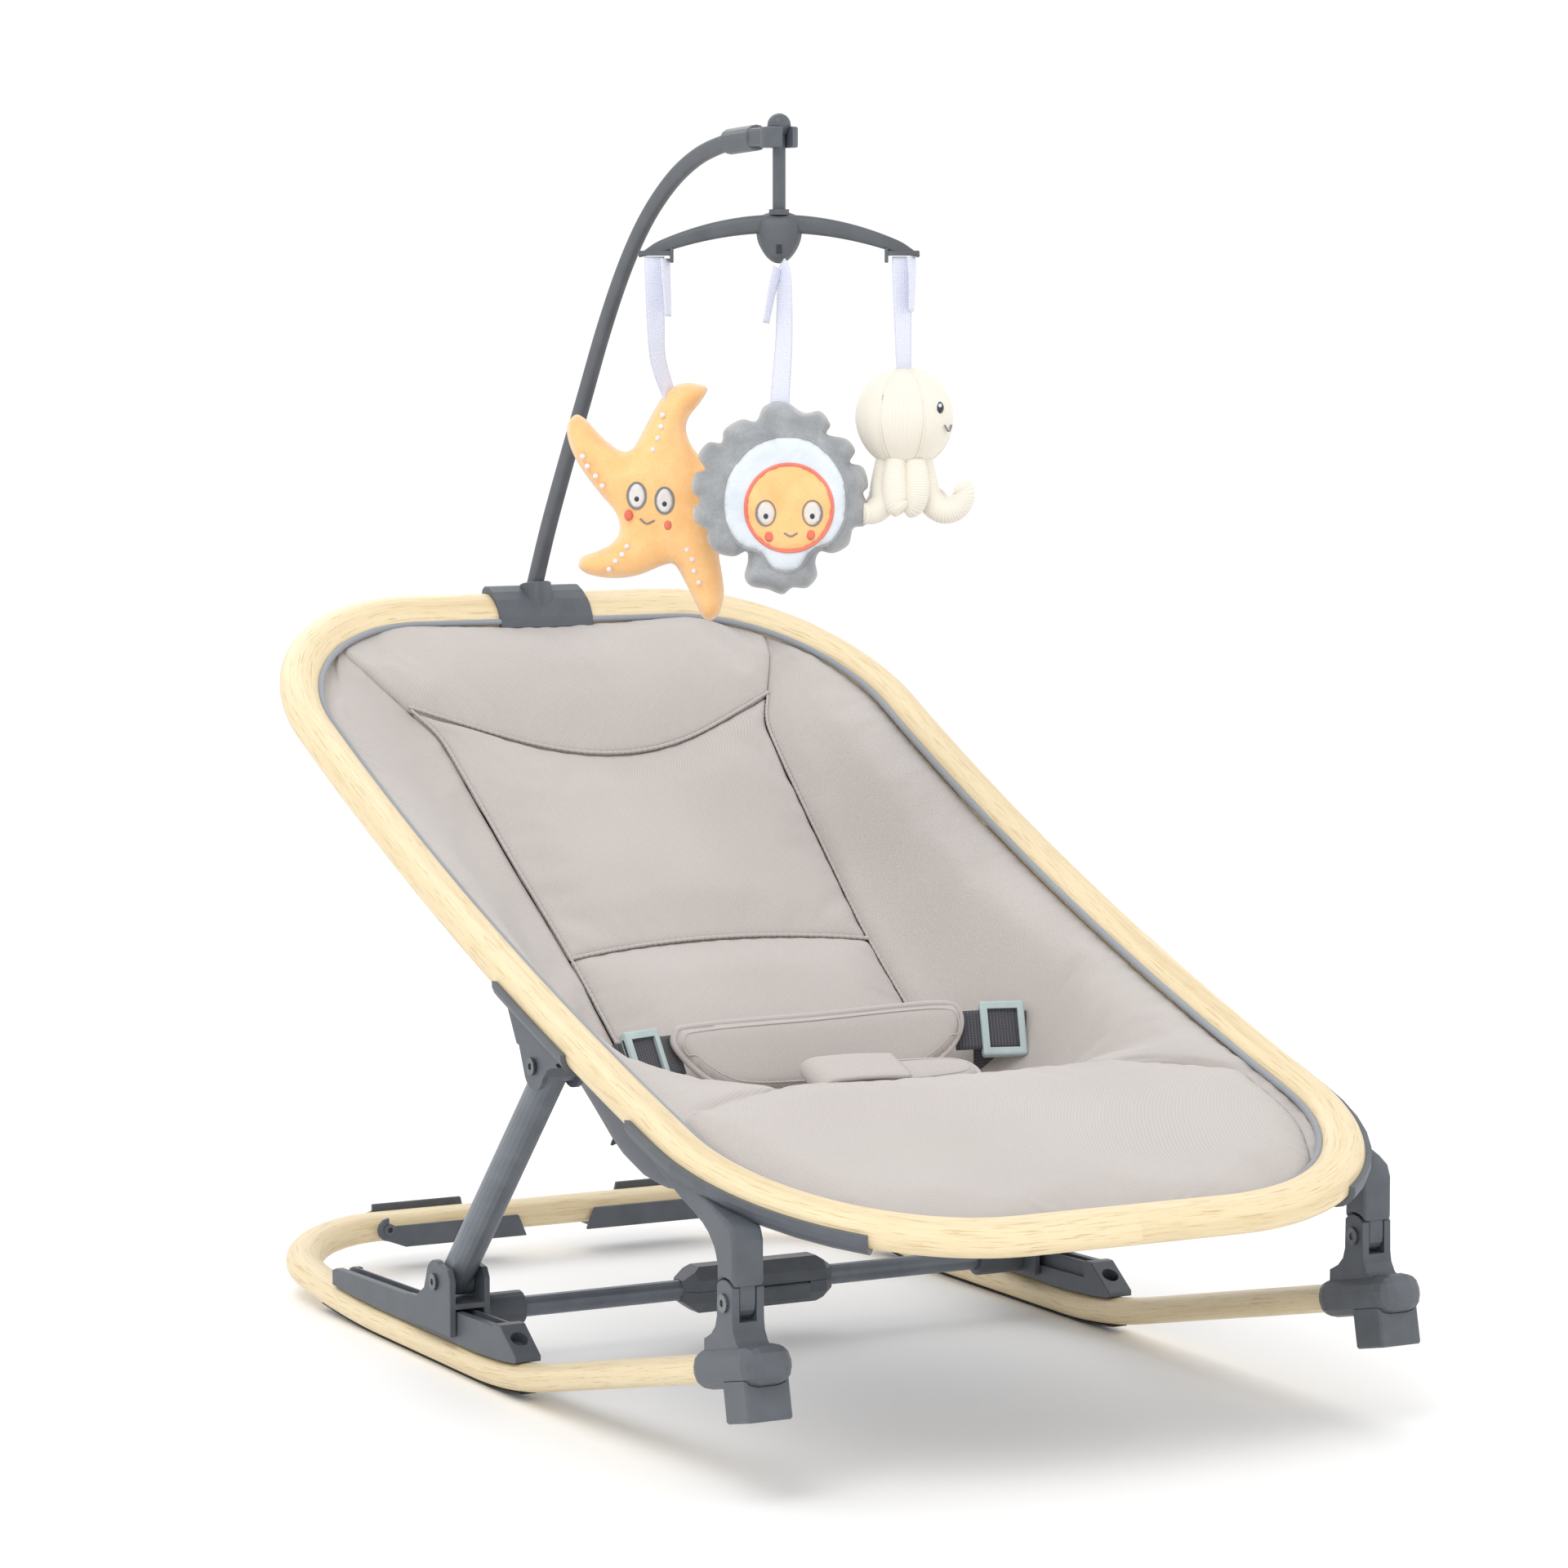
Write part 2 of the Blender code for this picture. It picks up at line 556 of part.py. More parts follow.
def cross_tube(name, side):
    start = side * (BAR_HOUSING_HALF - 0.012)
    end = side * (RAIL_X - CARRIAGE_HALF - 0.0140)
    return keep(rod(name, 0.0065, (start, *CROSS_BAR.yz), (end, *CROSS_BAR.yz), 16), "grey_paint")


def latch_pin(name, side):
    """Plunger that runs through the carriage's inner cheek into the rail's groove."""
    inner = RAIL_X - CARRIAGE_HALF
    start, end = side * (inner - 0.0088), side * (RAIL_X - RAIL_WIDTH / 2 + 0.0022)
    return keep(rod(name, 0.0025, (start, *CROSS_BAR.yz), (end, *CROSS_BAR.yz), 10), "steel")


def housing_shape(name):
    """Eight-sided grip with tapered ends round the cross bar."""
    half = BAR_HOUSING_HALF
    grip = box(name, (2 * half, 0.027, 0.029), CROSS_BAR, 0.0075, segments=1)
    for turn in (-1, 1):
        for tag, z in (("_low", -1), ("_high", 1)):
            slope = Matrix.Rotation(math.radians(turn * z * 35), 4, "Y")
            wedge = box(name + tag + str(turn), (0.05, 0.04, 0.02),
                        CROSS_BAR + Vector((turn * (half - 0.001), 0, z * 0.0195)), turn=slope)
            cut(grip, wedge)
    return grip


def handle_housing(name, upper):
    shell = housing_shape(name)
    half = box(name + "_half", (0.2, 0.06, 0.04),
               CROSS_BAR + Vector((0, 0, (-0.02 + GAP / 2) if upper else (0.02 - GAP / 2))))
    cut(shell, half)
    for side in (-1, 1):
        cut(shell, rod(f"{name}_bore{side}", 0.0065 + GAP, (side * (BAR_HOUSING_HALF - 0.0125), *CROSS_BAR.yz),
                       (side * 0.08, *CROSS_BAR.yz), 16))
    if not upper:
        cut(shell, box(name + "_window", (0.0506, 0.012, 0.020), CROSS_BAR + Vector((0.008, -0.0135, -0.0060))))
    return keep(shell, "grey_plastic")


def release_paddle(name):
    """Squeeze plate in the front of the housing's lower half."""
    plate = box(name, (0.050, 0.0050, 0.0106), CROSS_BAR + Vector((0.008, -0.0135, -0.0058)), 0.002)
    return keep(plate, "grey_plastic")


# ---------------------------------------------------------------- seat fabric
def smooth_step(t):
    t = min(1.0, max(0.0, t))
    return t * t * (3 - 2 * t)


def bucket_depth(y):
    """How far the middle of the seat lies below the ring."""
    if y < BUCKET_ROOT_Y:
        return BUCKET_DEPTH * smooth_step((y - BUCKET_CREST_Y) / (BUCKET_ROOT_Y - BUCKET_CREST_Y))
    return BUCKET_DEPTH * max(0.0, 1 - (y - BUCKET_ROOT_Y) / (BUCKET_HEAD_Y - BUCKET_ROOT_Y))


def centre_half(y):
    """Half width of the centre panels: narrow at the hips, wider at the head."""
    return 0.107 + 0.0275 * max(0.0, (y - 0.106) / 0.185)


INNER = RING_A + 0.0015           # from the ring's centre line to the liner's edge


def liner_half(y):
    """Half width of the space inside the ring."""
    front, back = RING_FRONT_Y + INNER, RING_BACK_Y - INNER
    radius, half = RING_FRONT_R - INNER, RING_FRONT_HALF - RING_FRONT_R
    if y < front + radius:
        return half + math.sqrt(max(0.0, radius ** 2 - (front + radius - y) ** 2))
    radius, half = RING_BACK_R - INNER, RING_BACK_HALF - RING_BACK_R
    if y > back - radius:
        return half + math.sqrt(max(0.0, radius ** 2 - (y - back + radius) ** 2))
    return ring_side_half(y) - INNER


def liner_top(x, y):
    """Height of the liner's upper surface."""
    across, flat = abs(x) / liner_half(y), min(0.95, centre_half(y) / liner_half(y))
    share = 1.0 if across < flat else 0.5 * (1 + math.cos(math.pi * min(1.0, (across - flat) / (1 - flat))))
    return ring_height(y) + 0.001 - bucket_depth(y) * share


def fabric(name, x_low, x_high, y_low, y_high, across, along, drop, thickness, material):
    """A panel of the seat between two x limits, given as functions of y, and two y limits."""
    mesh = bmesh.new()
    bmesh.ops.create_grid(mesh, x_segments=across, y_segments=along, size=0.5)
    for vertex in mesh.verts:
        v = vertex.co.y + 0.5
        y = y_low + (y_high - y_low) * v
        x = x_low(y) + (x_high(y) - x_low(y)) * (vertex.co.x + 0.5)
        vertex.co = (x, y, liner_top(x, y) - drop)
    made = bmesh.ops.extrude_face_region(mesh, geom=mesh.faces, use_keep_orig=True)
    for vertex in (item for item in made["geom"] if isinstance(item, bmesh.types.BMVert)):
        vertex.co.z -= thickness
    bmesh.ops.recalc_face_normals(mesh, faces=mesh.faces)
    return keep(from_bmesh(name, mesh), material)


def seat_fabric():
    seam = 0.0010
    front, back = RING_FRONT_Y + INNER + 0.0006, RING_BACK_Y - INNER - 0.0045
    split_front, split_root, split_lumbar, split_head = -0.190, -0.030, 0.106, 0.250

    def edge(y):
        return liner_half(y) - 0.0012

    def inner(y):
        return min(centre_half(y) - seam, edge(y))

    def sling_edge(y):
        return liner_half(y) - 0.0080

    for name, low, high, rows in (("seat_bottom_pad", split_front, split_root, 7),
                                  ("lumbar_pad", split_root, split_lumbar, 5),
                                  ("back_pad", split_lumbar, split_head, 4)):
        fabric(name, lambda y: -inner(y), inner, low + seam, high - seam, 4, rows, 0.0, PAD, "liner_fabric")
    fabric("head_pad", lambda y: -inner(y), inner, split_head + seam, back, 4, 4, 0.0, PAD, "liner_fabric")
    fabric("front_pad", lambda y: -edge(y), edge, front, split_front - 4 * seam, 8, 7, 0.0, PAD, "liner_fabric")
    for name, side in (("side_wing_left", -1), ("side_wing_right", 1)):
        near = (lambda y: -edge(y)) if side < 0 else (lambda y: inner(y) + 2 * seam)
        far = (lambda y: -inner(y) - 2 * seam) if side < 0 else edge
        fabric(name, near, far, split_front + seam, 0.300, 4, 14, 0.0, PAD, "liner_fabric")
    fabric("seat_sling", lambda y: -sling_edge(y), sling_edge, front + 0.012, back - 0.012, 18, 36,
           PAD + 0.0040, 0.0018, "sling_fabric")


# ---------------------------------------------------------------- harness
WAIST = Vector((0, -0.024, 0.1900))
STRAP_MIDDLE = {-1: Vector((-0.1205, -0.030, 0.1950)), 1: Vector((0.1250, -0.030, 0.1960))}


def waist_pad(name):
    """Padded belt with a rounded right end and a lower edge that rises to the left end."""
    outline = [(-0.0975, 0.0090), (-0.0955, 0.0175), (-0.0890, 0.0205), (0.0030, 0.0232), (0.0600, 0.0243),
               (0.0920, 0.0232), (0.0985, 0.0178), (0.0975, 0.0065), (0.0880, -0.0055), (0.0720, -0.0150),
               (0.0580, -0.0205), (0.0200, -0.0225), (-0.0580, -0.0212), (-0.0730, -0.0165), (-0.0870, -0.0062)]
    lean = Matrix.Translation(WAIST) @ Matrix.Rotation(math.radians(90 - 25), 4, "X")
    return keep(slab(name, outline, 0.0090, lean, 0.003), "liner_fabric")


def waist_strap(name, side):
    centre = STRAP_MIDDLE[side]
    lean = Matrix.Rotation(math.radians(side * -18), 4, "Z") @ Matrix.Rotation(math.radians(-25), 4, "X")
    return keep(box(name, (0.042, 0.0016, 0.025), centre, turn=lean), "webbing")


def adjuster(name, side):
    """Flat frame that the waist strap runs through."""
    centre = STRAP_MIDDLE[side]
    lean = Matrix.Rotation(math.radians(side * -18), 4, "Z") @ Matrix.Rotation(math.radians(-25), 4, "X")
    frame = box(name, (0.0280, 0.0066, 0.0350), centre, 0.0015, lean)
    slot = box(name + "_slot", (0.05, 0.0024, 0.0262), centre, turn=lean)
    window = box(name + "_window", (0.0190, 0.0060, 0.0250), centre - lean.col[1].xyz * 0.0034, turn=lean)
    return keep(cut(frame, slot, window), "pale_plastic")


def harness_middle():
    crotch = box("crotch_pad", (0.104, 0.034, 0.0100), (0.012, -0.1000, 0.1840), 0.003,
                 Matrix.Rotation(math.radians(20), 4, "X"))
    keep(crotch, "liner_fabric")
    strap = box("crotch_strap", (0.025, 0.0018, 0.0170), (0.010, -0.1000, 0.1690))
    keep(strap, "webbing")
    clip = box("harness_buckle", (0.034, 0.012, 0.022), (0.012, -0.0640, 0.1700), 0.003,
               Matrix.Rotation(math.radians(-25), 4, "X"))
    keep(clip, "grey_plastic")


# ---------------------------------------------------------------- toy bar and mobile
TOY_BAR_ROUTE = [(0.3800, 0.4500), (0.3580, 0.4900), (0.3330, 0.5300), (0.3015, 0.5780), (0.2705, 0.6250),
                 (0.2400, 0.6640), (0.2090, 0.6940), (0.1740, 0.7170), (0.1400, 0.7310), (0.1080, 0.7380),
                 (0.0800, 0.7405)]
BALL, KNOB_R = Vector((0, MOBILE_Y, 0.7480)), 0.0072
BOW_Z = 0.6860


def toy_bar_base():
    """Where the toy bar enters its mount, and its direction there."""
    start, after = (Vector((0, *p)) for p in TOY_BAR_ROUTE[:2])
    up = (after - start).normalized()
    return start, up


def toy_bar(name):
    """Flat bar that rises from the head rail and curves forward over the seat."""
    base, up = toy_bar_base()
    points = [base + up * GAP] + [Vector((0, *p)) for p in TOY_BAR_ROUTE[1:]]
    shape = curve(name + "_profile", [(a, b, 0) for a, b in wood_section(0.0040, 0.0070, 10)], True, "2D")
    bar = curve(name, [tuple(p) for p in points])
    bar.data.bevel_mode = "OBJECT"
    bar.data.bevel_object = shape
    bar.data.use_fill_caps = True
    bar.data.twist_mode = "MINIMUM"
    for index, point in enumerate(bar.data.splines[0].points):
        point.radius = 1.0 - 0.25 * index / (len(points) - 1)
    bar = as_mesh(bar)
    bpy.data.objects.remove(shape)
    return keep(bar, "grey_plastic")


def toy_bar_clip(name):
    """End piece of the bar with a C clip that holds the mobile's neck."""
    socket = rod(name, 0.0080, (0, 0.0930, 0.7400), (0, 0.0560, 0.7415), 16, 0.0015)
    arm = box(name + "_arm", (0.013, 0.030, 0.0110), (0, 0.0480, 0.7415), 0.002)
    ring = rod(name + "_ring", 0.0115, (0, MOBILE_Y, 0.7345), (0, MOBILE_Y, 0.7470), 20, 0.001)
    seat = ball(name + "_seat", (KNOB_R + GAP, KNOB_R + GAP, KNOB_R + GAP), BALL, 20, 14)
    hole = rod(name + "_hole", 0.0047, (0, MOBILE_Y, 0.72), (0, MOBILE_Y, 0.76), 16)
    mouth = box(name + "_mouth", (0.0070, 0.020, 0.03), (0, MOBILE_Y - 0.0105, 0.7400))
    bar_bore = box(name + "_bar_bore", (0.0070, 0.020, 0.0122), (0, 0.0875, 0.7400))
    return keep(cut(fuse(socket, arm, ring), hole, seat, mouth, bar_bore), "grey_plastic")


def mobile_stem(name):
    """Neck with a ball that sits in the clip and a collar on the hub."""
    knob = ball(name, (KNOB_R, KNOB_R, KNOB_R), BALL)
    neck = rod(name + "_neck", 0.0040, BALL, (0, MOBILE_Y, BOW_Z + 0.0082), 14)
    flange = rod(name + "_flange", 0.0062, (0, MOBILE_Y, BOW_Z + 0.0082), (0, MOBILE_Y, BOW_Z + 0.0115), 14)
    return keep(fuse(knob, neck, flange), "grey_plastic")


def mobile_frame():
    """Matrix of the mobile: X along the bow, -Y towards the viewer of the toys, origin at the hub."""
    return Matrix.Translation((0, MOBILE_Y, BOW_Z)) @ Matrix.Rotation(MOBILE_TURN, 4, "Z")


BOW_HALF, BOW_DROP = 0.085, 0.0150


def mobile_bow(name):
    """Arched bow with a shield-shaped hub and a slot and hooks for the toys' ribbons."""
    frame = mobile_frame()
    upright = frame @ Matrix.Rotation(math.radians(90), 4, "X")
    arch = [(BOW_HALF * t / 8, -BOW_DROP * (t / 8) ** 2) for t in range(-8, 9)]
    top = [(a, b + 0.0045 - 0.0020 * abs(a) / BOW_HALF) for a, b in arch]
    low = [(a, b - 0.0045 + 0.0020 * abs(a) / BOW_HALF) for a, b in arch[::-1]]
    bow = slab(name, top + low, 0.0080, upright, 0.001, 1)
    shield = [(-0.0125, 0.0080), (-0.0130, -0.0040), (-0.0085, -0.0165), (0, -0.0225),
              (0.0085, -0.0165), (0.0130, -0.0040), (0.0125, 0.0080)]
    hub = slab(name + "_hub", shield, 0.0150, upright, 0.003)
    tool = []
    for tag, place in (("_slot", 0.0), ("_slot_left", -0.0720), ("_slot_right", 0.0720)):
        z = -0.0130 if place == 0 else -BOW_DROP * (place / BOW_HALF) ** 2
        tool.append(box(name + tag, (0.0052 if place == 0 else 0.0140, 0.06, 0.0026), (0, 0, 0)))
        tool[-1].matrix_world = frame @ Matrix.Translation((place, 0, z))
    hooks = []
    for tag, place in (("_hook_left", -0.0720), ("_hook_right", 0.0720)):
        z = -BOW_DROP * (place / BOW_HALF) ** 2 - 0.0050
        hooks.append(box(name + tag, (0.0180, 0.0060, 0.0080), (0, 0, 0)))
        hooks[-1].matrix_world = frame @ Matrix.Translation((place, 0, z))
        tool[1 if place < 0 else 2].matrix_world = frame @ Matrix.Translation((place, 0, z - 0.0008))
    return keep(cut(fuse(bow, hub, *hooks), *tool), "grey_plastic")


# name, distance along the bow, depth away from the viewer, hook height and toy top height
TOYS = {
    "starfish": (-0.0720, 0.0240, 0.6655, 0.5960),
    "scallop": (0.0, -0.0100, 0.6630, 0.5820),
    "octopus": (0.0760, 0.0, 0.6655, 0.6010),
}


def ribbon(name, place, depth, top, low):
    """Flat ribbon from the bow down to a toy."""
    frame = mobile_frame()
    high = frame @ Vector((place, 0, top - BOW_Z))
    foot = frame @ Vector((place, depth, low - BOW_Z))
    middle = (high + foot) / 2
    tilt = math.atan2(depth, top - low)
    matrix = (Matrix.Translation(middle) @ Matrix.Rotation(MOBILE_TURN, 4, "Z")
              @ Matrix.Rotation(tilt, 4, "X"))
    strip = box(name, (0.0110, 0.0010, (foot - high).length), (0, 0, 0))
    strip.matrix_world = matrix
    return keep(strip, "ribbon")


def toy_slab(name, outline, thickness, place, depth, z, round_by, material):
    matrix = (mobile_frame() @ Matrix.Translation((place, depth, z - BOW_Z))
              @ Matrix.Rotation(math.radians(90), 4, "X"))
    return keep(slab(name, outline, thickness, matrix, round_by), material)


def starfish(name):
    """Plush five-armed star."""
    outline = []
    for arm in range(5):
        tip = 96 - 72 * arm
        for turn, radius in ((10, 0.047), (4, 0.066), (-4, 0.066), (-10, 0.047), (-36, 0.029)):
            angle = math.radians(tip + turn)
            outline.append((radius * math.cos(angle), radius * math.sin(angle)))
    return toy_slab(name, outline, 0.022, -0.0790, 0.0240, 0.5270, 0.006, "orange_plush")


def scallop(name):
    """Plush scallop shell with a hinge lobe at the bottom."""
    outline = arc((0, 0), 0.0485, -50, 230, 22)
    outline += [(-0.0220, -0.0470), (-0.0200, -0.0590), (0.0, -0.0610), (0.0200, -0.0590), (0.0220, -0.0470)]
    return toy_slab(name, outline, 0.026, 0.0, -0.0100, 0.5270, 0.007, "grey_plush")


def octopus(name):
    """Knitted octopus: a round head over a skirt of legs."""
    frame = mobile_frame()
    head = ball(name, (0.0300, 0.0300, 0.0320), frame @ Vector((0.0760, 0, 0.5680 - BOW_Z)))
    skirt = rod(name + "_legs", 0.0160, frame @ Vector((0.0760, 0, 0.5520 - BOW_Z)),
                frame @ Vector((0.0760, 0, 0.5180 - BOW_Z)), 12, 0.003, 0.0290)
    return keep(fuse(head, skirt), "cream_knit")


# ---------------------------------------------------------------- build
def build():
    keep(hoop_solid("base_hoop"), "wood")
    keep(ring_solid("seat_hoop"), "wood")
    for word, side in (("left", -1), ("right", 1)):
        front_foot(f"front_foot_{word}", side)
        foot_block(f"foot_block_{word}", side)
        grip_strip(f"grip_strip_{word}", side)
        slide_rail(f"slide_rail_{word}", side)
        stop_leg(f"stop_leg_{word}", side)
        leg_bracket(f"leg_bracket_{word}", side)
        bolt(f"leg_bolt_{word}", side * LEG_X - 0.0101, side * LEG_X + 0.0085, HINGE)
        prop_bracket(f"prop_bracket_{word}", side)
        bolt(f"prop_bolt_{word}", side * (RAIL_X + 0.0145), side * (RAIL_X - 0.0135), KNEE)
        prop_tube(f"prop_tube_{word}", side)
        carriage(f"carriage_{word}", side)
        bolt(f"carriage_bolt_{word}", side * (RAIL_X + 0.0138), side * (RAIL_X - 0.0125), SLIDER)
        cross_tube(f"cross_tube_{word}", side)
        latch_pin(f"latch_pin_{word}", side)
        waist_strap(f"waist_strap_{word}", side)
        adjuster(f"adjuster_{word}", side)
    handle_housing("handle_housing_upper", True)
    handle_housing("handle_housing_lower", False)
    release_paddle("release_paddle")
    seat_fabric()
    waist_pad("waist_pad")
    harness_middle()
    toy_bar_mount("toy_bar_mount")
    toy_bar("toy_bar")
    toy_bar_clip("toy_bar_clip")
    mobile_stem("mobile_stem")
    mobile_bow("mobile_bow")
    for toy, (place, depth, top, low) in TOYS.items():
        ribbon(f"{toy}_ribbon", place, depth, top, low)
    starfish("starfish_toy")
    scallop("scallop_toy")
    octopus("octopus_toy")


build()
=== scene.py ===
"""Looks of the bouncer seat: bent wood, padded liner, harness, toy bar and soft toys on the CAD frame."""

import json
import math

import bmesh
import bpy
from mathutils import Matrix, Vector, geometry, noise


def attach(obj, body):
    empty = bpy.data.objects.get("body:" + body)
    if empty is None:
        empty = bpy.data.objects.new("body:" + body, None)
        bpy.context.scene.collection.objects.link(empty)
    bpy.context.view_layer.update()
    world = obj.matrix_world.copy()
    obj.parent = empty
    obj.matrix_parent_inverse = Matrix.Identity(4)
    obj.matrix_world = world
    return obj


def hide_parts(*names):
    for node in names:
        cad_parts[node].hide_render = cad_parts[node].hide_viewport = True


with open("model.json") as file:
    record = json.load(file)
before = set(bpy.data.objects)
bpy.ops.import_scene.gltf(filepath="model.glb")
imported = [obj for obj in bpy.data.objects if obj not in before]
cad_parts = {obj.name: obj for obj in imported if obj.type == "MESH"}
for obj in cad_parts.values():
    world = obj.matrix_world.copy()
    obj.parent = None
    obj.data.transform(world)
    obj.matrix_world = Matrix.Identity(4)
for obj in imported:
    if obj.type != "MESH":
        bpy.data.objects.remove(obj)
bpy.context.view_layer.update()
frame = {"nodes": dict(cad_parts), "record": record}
NODES = frame["nodes"]
SIDES = (("left", -1), ("right", 1))

# Sizes repeated from the CAD, in metres.
RAIL_X = 0.204
RING_FRONT_Y, RING_BACK_Y = -0.3775, 0.374
RING_FRONT_HALF, RING_BACK_HALF = 0.206, 0.212
RING_FRONT_R, RING_BACK_R = 0.140, 0.1185
RING_A, RING_B = 0.0125, 0.00925
HOOP_FRONT_Y, HOOP_BACK_Y, HOOP_R = -0.322, 0.363, 0.080
HOOP_A, HOOP_B = 0.0120, 0.0085
FLAT_FRONT_Y, FLAT_BACK_Y = 0.018, 0.158
INNER = RING_A + 0.0015
CREST_Y, ROOT_Y, HEAD_Y, BUCKET_DEPTH = -0.187, -0.042, 0.318, 0.108
MOBILE_Y, MOBILE_TURN, BOW_Z = 0.0284, math.radians(-28), 0.6860
STRAP_MIDDLE = {"left": Vector((-0.1205, -0.030, 0.1950)), "right": Vector((0.1250, -0.030, 0.1960))}


# Materials.
BLACK, MID, WHITE = ((grey, grey, grey, 1) for grey in (0, 0.5, 1))


def linear(*colour):
    """Linear colour from 0-255 values."""
    parts = (c / 255 / 12.92 if c <= 10 else ((c / 255 + 0.055) / 1.055) ** 2.4 for c in colour)
    return (*parts, 1)


def new_material(name, roughness, metallic=0.0, sheen=0.0):
    material = bpy.data.materials.new(name)
    material.use_nodes = True
    tree = material.node_tree
    shader = tree.nodes["Principled BSDF"]
    shader.inputs["Roughness"].default_value = roughness
    shader.inputs["Metallic"].default_value = metallic
    if sheen:
        shader.inputs["Sheen Weight"].default_value = sheen
        shader.inputs["Sheen Roughness"].default_value = 0.5
    return material, tree, shader


def product(tree, a, b):
    made = tree.nodes.new("ShaderNodeMath")
    made.operation = "MULTIPLY"
    tree.links.new(a, made.inputs[0])
    tree.links.new(b, made.inputs[1])
    return made.outputs[0]


def coordinates(tree, output, scale=(1, 1, 1), turn=0.0):
    source = tree.nodes.new("ShaderNodeTexCoord")
    mapping = tree.nodes.new("ShaderNodeMapping")
    mapping.inputs["Scale"].default_value = scale
    mapping.inputs["Rotation"].default_value = (0, 0, turn)
    tree.links.new(source.outputs[output], mapping.inputs["Vector"])
    return mapping.outputs["Vector"]


def ramp(tree, factor, stops):
    made = tree.nodes.new("ShaderNodeValToRGB")
    elements = made.color_ramp.elements
    elements[0].position, elements[0].color = stops[0]
    elements[1].position, elements[1].color = stops[-1]
    for position, colour in stops[1:-1]:
        elements.new(position).color = colour
    tree.links.new(factor, made.inputs["Fac"])
    return made.outputs["Color"]


def blend_colour(tree, factor, a, b, mode="MIX"):
    made = tree.nodes.new("ShaderNodeMix")
    made.data_type = "RGBA"
    made.blend_type = mode
    for socket, value in ((made.inputs[0], factor), (made.inputs[6], a), (made.inputs[7], b)):
        if isinstance(value, bpy.types.NodeSocket):
            tree.links.new(value, socket)
        else:
            socket.default_value = value
    return made.outputs[2]


def add_bump(tree, shader, height, strength, distance, below=None):
    made = tree.nodes.new("ShaderNodeBump")
    made.inputs["Strength"].default_value = strength
    made.inputs["Distance"].default_value = distance
    tree.links.new(height, made.inputs["Height"])
    if below is not None:
        tree.links.new(below, made.inputs["Normal"])
    tree.links.new(made.outputs["Normal"], shader.inputs["Normal"])
    return made.outputs["Normal"]


def texture(tree, kind, vector, **values):
    made = tree.nodes.new(kind)
    for key, value in values.items():
        made.inputs[key].default_value = value
    tree.links.new(vector, made.inputs["Vector"])
    return made


def tex_noise(tree, vector, scale, detail=2.0, roughness=0.5, distortion=0.0):
    made = texture(tree, "ShaderNodeTexNoise", vector, Scale=scale, Detail=detail, Roughness=roughness,
                   Distortion=distortion)
    return made.outputs["Fac"]


def tex_wave(tree, vector, scale, distortion=0.0, direction="X"):
    made = texture(tree, "ShaderNodeTexWave", vector, Scale=scale, Distortion=distortion, Detail=1.0)
    made.bands_direction = direction
    return made.outputs["Fac"]


def mask(tree, factor, low, high, start=BLACK, end=WHITE):
    return ramp(tree, factor, [(low, start), (high, end)])


WAVE_SCALE = 0.314   # a wave texture's scale for bands one metre apart


def wood_material():
    """Pale bent ash: streaks run along the piece, short dark pores between them."""
    material, tree, shader = new_material("bent_wood", 0.42)
    streaks = tex_noise(tree, coordinates(tree, "UV", (2.6, 75, 1)), 1.0, 7, 0.62, 0.35)
    tone = ramp(tree, streaks, [(0.28, linear(206, 184, 142)), (0.46, linear(224, 205, 166)),
                                (0.60, linear(231, 213, 175)), (0.78, linear(218, 196, 152))])
    pores = tex_noise(tree, coordinates(tree, "UV", (34, 900, 1)), 1.0, 3, 0.7)
    pore_mask = mask(tree, pores, 0.34, 0.46)
    colour = blend_colour(tree, pore_mask, linear(198, 174, 130), tone)
    tree.links.new(colour, shader.inputs["Base Color"])
    shader.inputs["Coat Weight"].default_value = 0.12
    shader.inputs["Coat Roughness"].default_value = 0.3
    add_bump(tree, shader, pore_mask, 0.12, 0.0002)
    return material


def twill_material(name, light, dark, period=0.0014, roughness=0.92, sheen=0.25, strength=0.5):
    """Woven cloth: diagonal ribs broken by the crossing threads, with a slight colour fleck."""
    light, dark = linear(*light), linear(*dark)
    material, tree, shader = new_material(name, roughness, 0.0, sheen)
    scale = WAVE_SCALE / period
    ribs = tex_wave(tree, coordinates(tree, "UV", turn=math.radians(38)), scale, 0.6)
    threads = tex_wave(tree, coordinates(tree, "UV", turn=math.radians(-52)), scale * 1.3, 0.8)
    weave = product(tree, ribs, threads)
    fleck = tex_noise(tree, coordinates(tree, "UV"), 420, 2, 0.6)
    patches = tex_noise(tree, coordinates(tree, "Object"), 9, 2)
    colour = blend_colour(tree, weave, dark, light)
    darker = blend_colour(tree, 0.35, colour, dark)
    colour = blend_colour(tree, mask(tree, fleck, 0.35, 0.65), darker, colour)
    colour = blend_colour(tree, mask(tree, patches, 0.3, 0.7, end=(0.25, 0.25, 0.25, 1)), colour, light)
    tree.links.new(colour, shader.inputs["Base Color"])
    first = add_bump(tree, shader, weave, strength, 0.0003)
    add_bump(tree, shader, fleck, 0.25, 0.0002, first)
    return material


